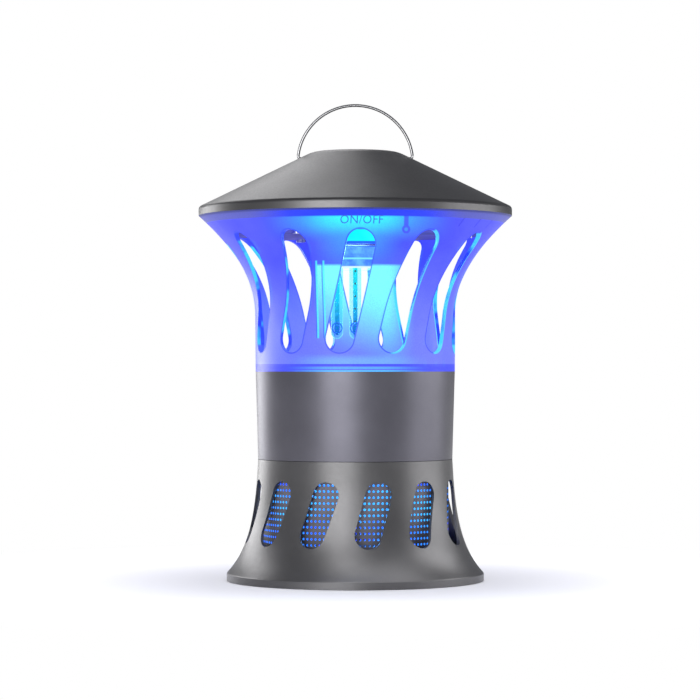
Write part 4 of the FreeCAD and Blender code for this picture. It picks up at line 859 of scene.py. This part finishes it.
def make_basket():
    """The catch basket with a perforated wall: a grid of cells, each round one hole."""
    low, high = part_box("catch_basket")
    outer = high.x
    inner = outer - BASKET_WALL
    bm = bmesh.new()
    turn = 2 * math.pi / HOLES_ROUND
    half_turn = turn / 2
    levels = [FIRST_ROW + ROW_STEP * row for row in range(HOLE_ROWS)]

    def corner_grid(radius):
        """The cells' corners, half a step and half a turn away from the holes."""
        grid = []
        for row in range(HOLE_ROWS + 1):
            height = FIRST_ROW + ROW_STEP * (row - 0.5)
            grid.append([bm.verts.new(on_ring(radius, turn * column - half_turn, height))
                         for column in range(HOLES_ROUND)])
        return grid

    def hole_ring(radius, column, level):
        """The points round one hole in one face of the wall."""
        ring = []
        for side in range(HOLE_SIDES):
            angle = 2 * math.pi * (side + 0.5) / HOLE_SIDES
            across = HOLE_RADIUS * math.cos(angle) / radius
            ring.append(bm.verts.new(on_ring(
                radius, turn * column + across, level + HOLE_RADIUS * math.sin(angle))))
        return ring

    def cell(corners, ring, flip):
        """Faces between a square cell's corners and the eight points of its hole."""
        right_low, right_high, left_high, left_low = corners
        # The ring starts at 22.5 degrees: sides 7,0 face right, 1,2 up, 3,4 left, 5,6 down.
        bands = (
            (right_low, right_high, ring[0], ring[7]), (right_high, ring[1], ring[0]),
            (right_high, left_high, ring[2], ring[1]), (left_high, ring[3], ring[2]),
            (left_high, left_low, ring[4], ring[3]), (left_low, ring[5], ring[4]),
            (left_low, right_low, ring[6], ring[5]), (right_low, ring[7], ring[6]))
        for band in bands:
            face = bm.faces.new(band[::-1] if flip else band)
            face.material_index = int(flip)

    walls = []
    for radius, flip in ((outer, False), (inner, True)):
        grid = corner_grid(radius)
        rings = []
        for row, level in enumerate(levels):
            for column in range(HOLES_ROUND):
                following = (column + 1) % HOLES_ROUND
                corners = (grid[row][following], grid[row + 1][following],
                           grid[row + 1][column], grid[row][column])
                ring = hole_ring(radius, column, level)
                cell(corners, ring, flip)
                rings.append(ring)
        walls.append((grid, rings))
    (outer_grid, outer_rings), (inner_grid, inner_rings) = walls
    for outside, inside in zip(outer_rings, inner_rings):
        for bore in bridge(bm, outside, inside):
            bore.material_index = 1

    def lathe(start, stop, corners):
        """Close the wall from one grid edge to the other by way of plain rings."""
        rings = [start]
        for radius, height in corners:
            rings.append([bm.verts.new(on_ring(radius, turn * column - half_turn, height))
                          for column in range(HOLES_ROUND)])
        rings.append(stop)
        for first, second in zip(rings, rings[1:]):
            bridge(bm, first, second)

    lathe(outer_grid[-1], inner_grid[-1], (
        (outer, high.z - RIM_BREAK), (outer - RIM_BREAK, high.z), (inner - LIP_WIDTH, high.z),
        (inner - LIP_WIDTH, high.z - BASKET_WALL), (inner, high.z - BASKET_WALL)))
    lathe(inner_grid[0], outer_grid[0], (
        (inner, low.z + BASKET_WALL), (FLOOR_CENTRE, low.z + BASKET_WALL),
        (FLOOR_CENTRE, low.z), (outer - FLOOR_BREAK, low.z), (outer, low.z + FLOOR_BREAK)))
    bmesh.ops.recalc_face_normals(bm, faces=bm.faces)
    basket = add_mesh("perforated_basket", bm, "base", "basket_plastic")
    basket.data.materials.append(MATERIALS["lit_basket"])
    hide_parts("catch_basket")


# --------------------------------------------------------------------------- legend

# The legend's height, spacing, raised depth, lift off the wall, foot, heading, and the longest
# edge left whole where it bends round the wall.
LEGEND_SIZE = 6.7 * MM
LEGEND_SPACING = 1.05
LEGEND_RAISE = 0.25 * MM
LEGEND_LIFT = 0.05 * MM
LEGEND_FOOT = 211.7 * MM
LEGEND_HEADING = math.radians(2.3)
LEGEND_EDGE = 0.8 * MM
# The shroud's flare: the height and radius of its waist, and the height of its mouth.
WAIST = 160 * MM
WAIST_RADIUS = 60.7 * MM
MOUTH = 220.5 * MM


def make_legend():
    """The raised ON/OFF legend on the shroud, over the power button."""
    curve = bpy.data.curves.new("legend_text", "FONT")
    curve.body = "ON/OFF"
    curve.size = LEGEND_SIZE
    curve.space_character = LEGEND_SPACING
    curve.align_x = "CENTER"
    curve.extrude = LEGEND_RAISE
    curve.resolution_u = 3
    text = bpy.data.objects.new("legend_text", curve)
    bpy.context.scene.collection.objects.link(text)
    depsgraph = bpy.context.evaluated_depsgraph_get()
    mesh = bpy.data.meshes.new_from_object(text.evaluated_get(depsgraph))
    bpy.data.objects.remove(text)
    bm = bmesh.new()
    bm.from_mesh(mesh)
    # Short edges let the flat letters follow the wall's curve.
    bmesh.ops.subdivide_edges(
        bm, edges=[edge for edge in bm.edges if edge.calc_length() > LEGEND_EDGE], cuts=2)
    mouth_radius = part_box("light_shroud")[1].x
    for vert in bm.verts:
        height = LEGEND_FOOT + vert.co.y
        radius = shroud_radius(height, mouth_radius) + vert.co.z + LEGEND_LIFT
        vert.co = on_ring(radius, LEGEND_HEADING + vert.co.x / radius, height)
    bmesh.ops.recalc_face_normals(bm, faces=bm.faces)
    add_mesh("power_legend", bm, "housing", "frosted_shroud", legend_tint())


def shroud_radius(height, mouth_radius):
    """Radius of the shroud's outer face, which flares as the square of the height."""
    reach = max(0.0, (height - WAIST) / (MOUTH - WAIST))
    return WAIST_RADIUS + (mouth_radius - WAIST_RADIUS) * reach * reach


# --------------------------------------------------------------------------- stage

EYE_HEIGHT = 0.1302
EYE_DISTANCE = 1.651
EYE_SIDE = -0.0032
# A slight upward tilt frames the lantern with its middle just under the centre.
EYE_TILT = math.radians(0.316)
LENS = 139.9
SENSOR_WIDTH = 36
VIEW_END = 20

FLOOR_SIZE = 3
FLOOR_DROP = 0.2 * MM
# Distances from the lantern's axis between which the floor fades to white, and over which the
# painted shadow round its foot grows, up to its full strength.
WHITE_FADE = (120 * MM, 340 * MM)
PAINTED_SHADOW_FADE = (215 * MM, 85 * MM)
PAINTED_SHADOW_STRENGTH = 0.20


def make_camera():
    """A long lens on the lantern's front, level with its middle."""
    data = bpy.data.cameras.new("camera")
    data.sensor_width = SENSOR_WIDTH
    data.lens = LENS
    data.clip_end = VIEW_END
    camera = bpy.data.objects.new("camera", data)
    bpy.context.scene.collection.objects.link(camera)
    camera.location = (EYE_SIDE, -EYE_DISTANCE, EYE_HEIGHT)
    camera.rotation_euler = (math.radians(90) + EYE_TILT, 0, 0)
    bpy.context.scene.camera = camera


def make_floor():
    """A pale floor with a painted soft shadow round the lantern, fading to pure white away from
    it.
    """
    shader = Shader("floor_white")
    x, y = separate(shader, shader.position())[:2]
    radius = shader.distance(x, y)
    paper = shader.principled(Base_Color=rgb(0.9, 0.9, 0.92), Roughness=0.85)
    bright = shader.mix_shaders(shader.span(radius, *WHITE_FADE), paper.outputs[0],
                                shader.emission(rgb(1, 1, 1)))
    surface = shader.mix_shaders(shader.span(radius, *PAINTED_SHADOW_FADE, 0.0, PAINTED_SHADOW_STRENGTH), bright,
                                 shader.emission(rgb(0.30, 0.30, 0.37)))
    bm = bmesh.new()
    bmesh.ops.create_grid(bm, x_segments=2, y_segments=2, size=FLOOR_SIZE)
    mesh = bpy.data.meshes.new("floor")
    bm.to_mesh(mesh)
    bm.free()
    mesh.materials.append(shader.finish(surface))
    floor = bpy.data.objects.new("floor", mesh)
    floor.location.z = -FLOOR_DROP
    bpy.context.scene.collection.objects.link(floor)
    return floor


ROOM_STRENGTH = 0.22


def make_world():
    """White behind the lantern; a dimmer grey room in its reflections."""
    world = bpy.data.worlds.new("studio")
    bpy.context.scene.world = world
    world.use_nodes = True
    tree = world.node_tree
    tree.nodes.clear()
    output = tree.nodes.new("ShaderNodeOutputWorld")
    room = tree.nodes.new("ShaderNodeBackground")
    room.inputs["Color"].default_value = rgb(0.9, 0.92, 1.0)
    room.inputs["Strength"].default_value = ROOM_STRENGTH
    backdrop = tree.nodes.new("ShaderNodeBackground")
    backdrop.inputs["Color"].default_value = rgb(1, 1, 1)
    rays = tree.nodes.new("ShaderNodeLightPath")
    seen = tree.nodes.new("ShaderNodeMath")
    seen.operation = "MAXIMUM"
    tree.links.new(rays.outputs["Is Camera Ray"], seen.inputs[0])
    tree.links.new(rays.outputs["Is Transmission Ray"], seen.inputs[1])
    mix = tree.nodes.new("ShaderNodeMixShader")
    tree.links.new(seen.outputs[0], mix.inputs[0])
    tree.links.new(room.outputs[0], mix.inputs[1])
    tree.links.new(backdrop.outputs[0], mix.inputs[2])
    tree.links.new(mix.outputs[0], output.inputs["Surface"])
    bpy.context.scene.view_settings.view_transform = "Standard"


def add_light(name, kind, power, colour, **settings):
    """A light object with its settings."""
    data = bpy.data.lights.new(name, kind)
    data.energy = power
    data.color = colour
    for key, setting in settings.items():
        setattr(data, key, setting)
    lamp = bpy.data.objects.new(name, data)
    bpy.context.scene.collection.objects.link(lamp)
    return lamp


AIM = Vector((0, 0, 0.14))


def softbox(name, heading, distance, height, width, tall, power):
    """A rectangular white light at a heading in degrees, aimed at the lantern's middle."""
    lamp = add_light(name, "AREA", power, (1, 1, 1), shape="RECTANGLE", size=width, size_y=tall)
    place = on_ring(distance, math.radians(heading), height)
    lamp.location = place
    lamp.rotation_euler = (AIM - place).to_track_quat("-Z", "Z").to_euler()
    return lamp


# Softboxes by what they light: a collection's name, how its pieces' names start, and each box's
# name, heading in degrees, distance, height, width, tallness and power.
SOFTBOXES = (
    ("lantern_only", "", (
        ("key_box", -19, 1.5, 0.25, 0.95, 1.3, 19),
        ("right_box", 90, 1.2, 0.2, 0.30, 1.2, 3.6),
        ("left_edge_box", -134, 1.3, 0.2, 0.45, 1.0, 6))),
    ("shroud_only", "light_shroud", (
        ("shroud_edge_box", -124, 1.3, 0.12, 0.5, 0.7, 8),)),
    ("lid_only", "lid_cover", (
        ("high_left_box", -160, 1.4, 1.25, 1.1, 0.9, 6.2),)),
    ("base_only", "base_shell", (
        ("high_base_box", 50, 0.40, 1.4, 1.4, 1.2, 8),
        ("front_base_box", -14, 1.0, 1.15, 0.6, 0.7, 3.6),
        ("right_base_box", 95, 1.2, 0.70, 0.40, 1.2, 5.2),
        ("left_base_box", -120, 1.4, 0.9, 0.5, 0.5, 3.5))),
)
# The base's boxes shine through the rest of the lantern, so that the band throws no shade on it.
UNBLOCKED = "base_only"
OVERHEAD_POWER = 60
OVERHEAD_SIZE = 2.4
OVERHEAD_HEIGHT = 1.7


def make_lights(floor):
    """Softboxes round the lantern, each with the pieces that it lights, and a floor light."""
    floor_only = bpy.data.collections.new("floor_only")
    floor_only.objects.link(floor)
    pieces = [piece for piece in bpy.context.scene.objects
              if piece.type == "MESH" and piece != floor]
    for group, start, boxes in SOFTBOXES:
        receivers = bpy.data.collections.new(group)
        for piece in pieces:
            if piece.name.startswith(start):
                receivers.objects.link(piece)
        for box in boxes:
            lamp = softbox(*box)
            lamp.light_linking.receiver_collection = receivers
            if group == UNBLOCKED:
                lamp.light_linking.blocker_collection = floor_only
    overhead = add_light("floor_light", "AREA", OVERHEAD_POWER, (1, 1, 1), shape="SQUARE",
                         size=OVERHEAD_SIZE)
    overhead.location = (0, 0, OVERHEAD_HEIGHT)
    overhead.light_linking.receiver_collection = floor_only


HALO_RADIUS = 20 * MM
HALO_SIDES = 8
HALO_RADIANCE = 9.0
# Rings of small lights round the lamp: height, tallness and share of the radiance.
HALO_ROWS = ((180 * MM, 16 * MM, 1.0), (166 * MM, 12 * MM, 0.6), (154 * MM, 10 * MM, 0.22))
# Point lights in the basket and under the tray: place and colour.
POINT_GLOWS = (("basket_glow", (0, 0, 42 * MM), (0.04, 0.30, 1.0)),
               ("tray_glow", (0, -40 * MM, 200 * MM), (0.2, 0.5, 1.0)))
POINT_POWER = 0.15
POINT_SIZE = 10 * MM


def make_glow():
    """Light of the lamp and of the basket: small lights inside, unseen through the slots."""
    width = 2 * HALO_RADIUS * math.tan(math.pi / HALO_SIDES)
    for row, (height, tall, share) in enumerate(HALO_ROWS):
        power = HALO_RADIANCE * share * math.pi * width * tall
        for side in range(HALO_SIDES):
            heading = 2 * math.pi * side / HALO_SIDES
            lamp = add_light(f"halo_{row}_{side}", "AREA", power, (0.22, 1.0, 1.0),
                             shape="RECTANGLE", size=width, size_y=tall)
            lamp.location = on_ring(HALO_RADIUS, heading, height)
            lamp.rotation_euler = on_ring(1, heading, 0).to_track_quat("-Z", "Z").to_euler()
            lamp.visible_camera = False
            lamp.visible_glossy = False
    for name, place, colour in POINT_GLOWS:
        lamp = add_light(name, "POINT", POINT_POWER, colour, shadow_soft_size=POINT_SIZE)
        lamp.location = place
        lamp.visible_camera = False
        lamp.visible_transmission = False


dress_nodes()
make_lamp()
make_glow_strip()
make_basket()
make_legend()
make_camera()
floor = make_floor()
make_world()
make_lights(floor)
make_glow()
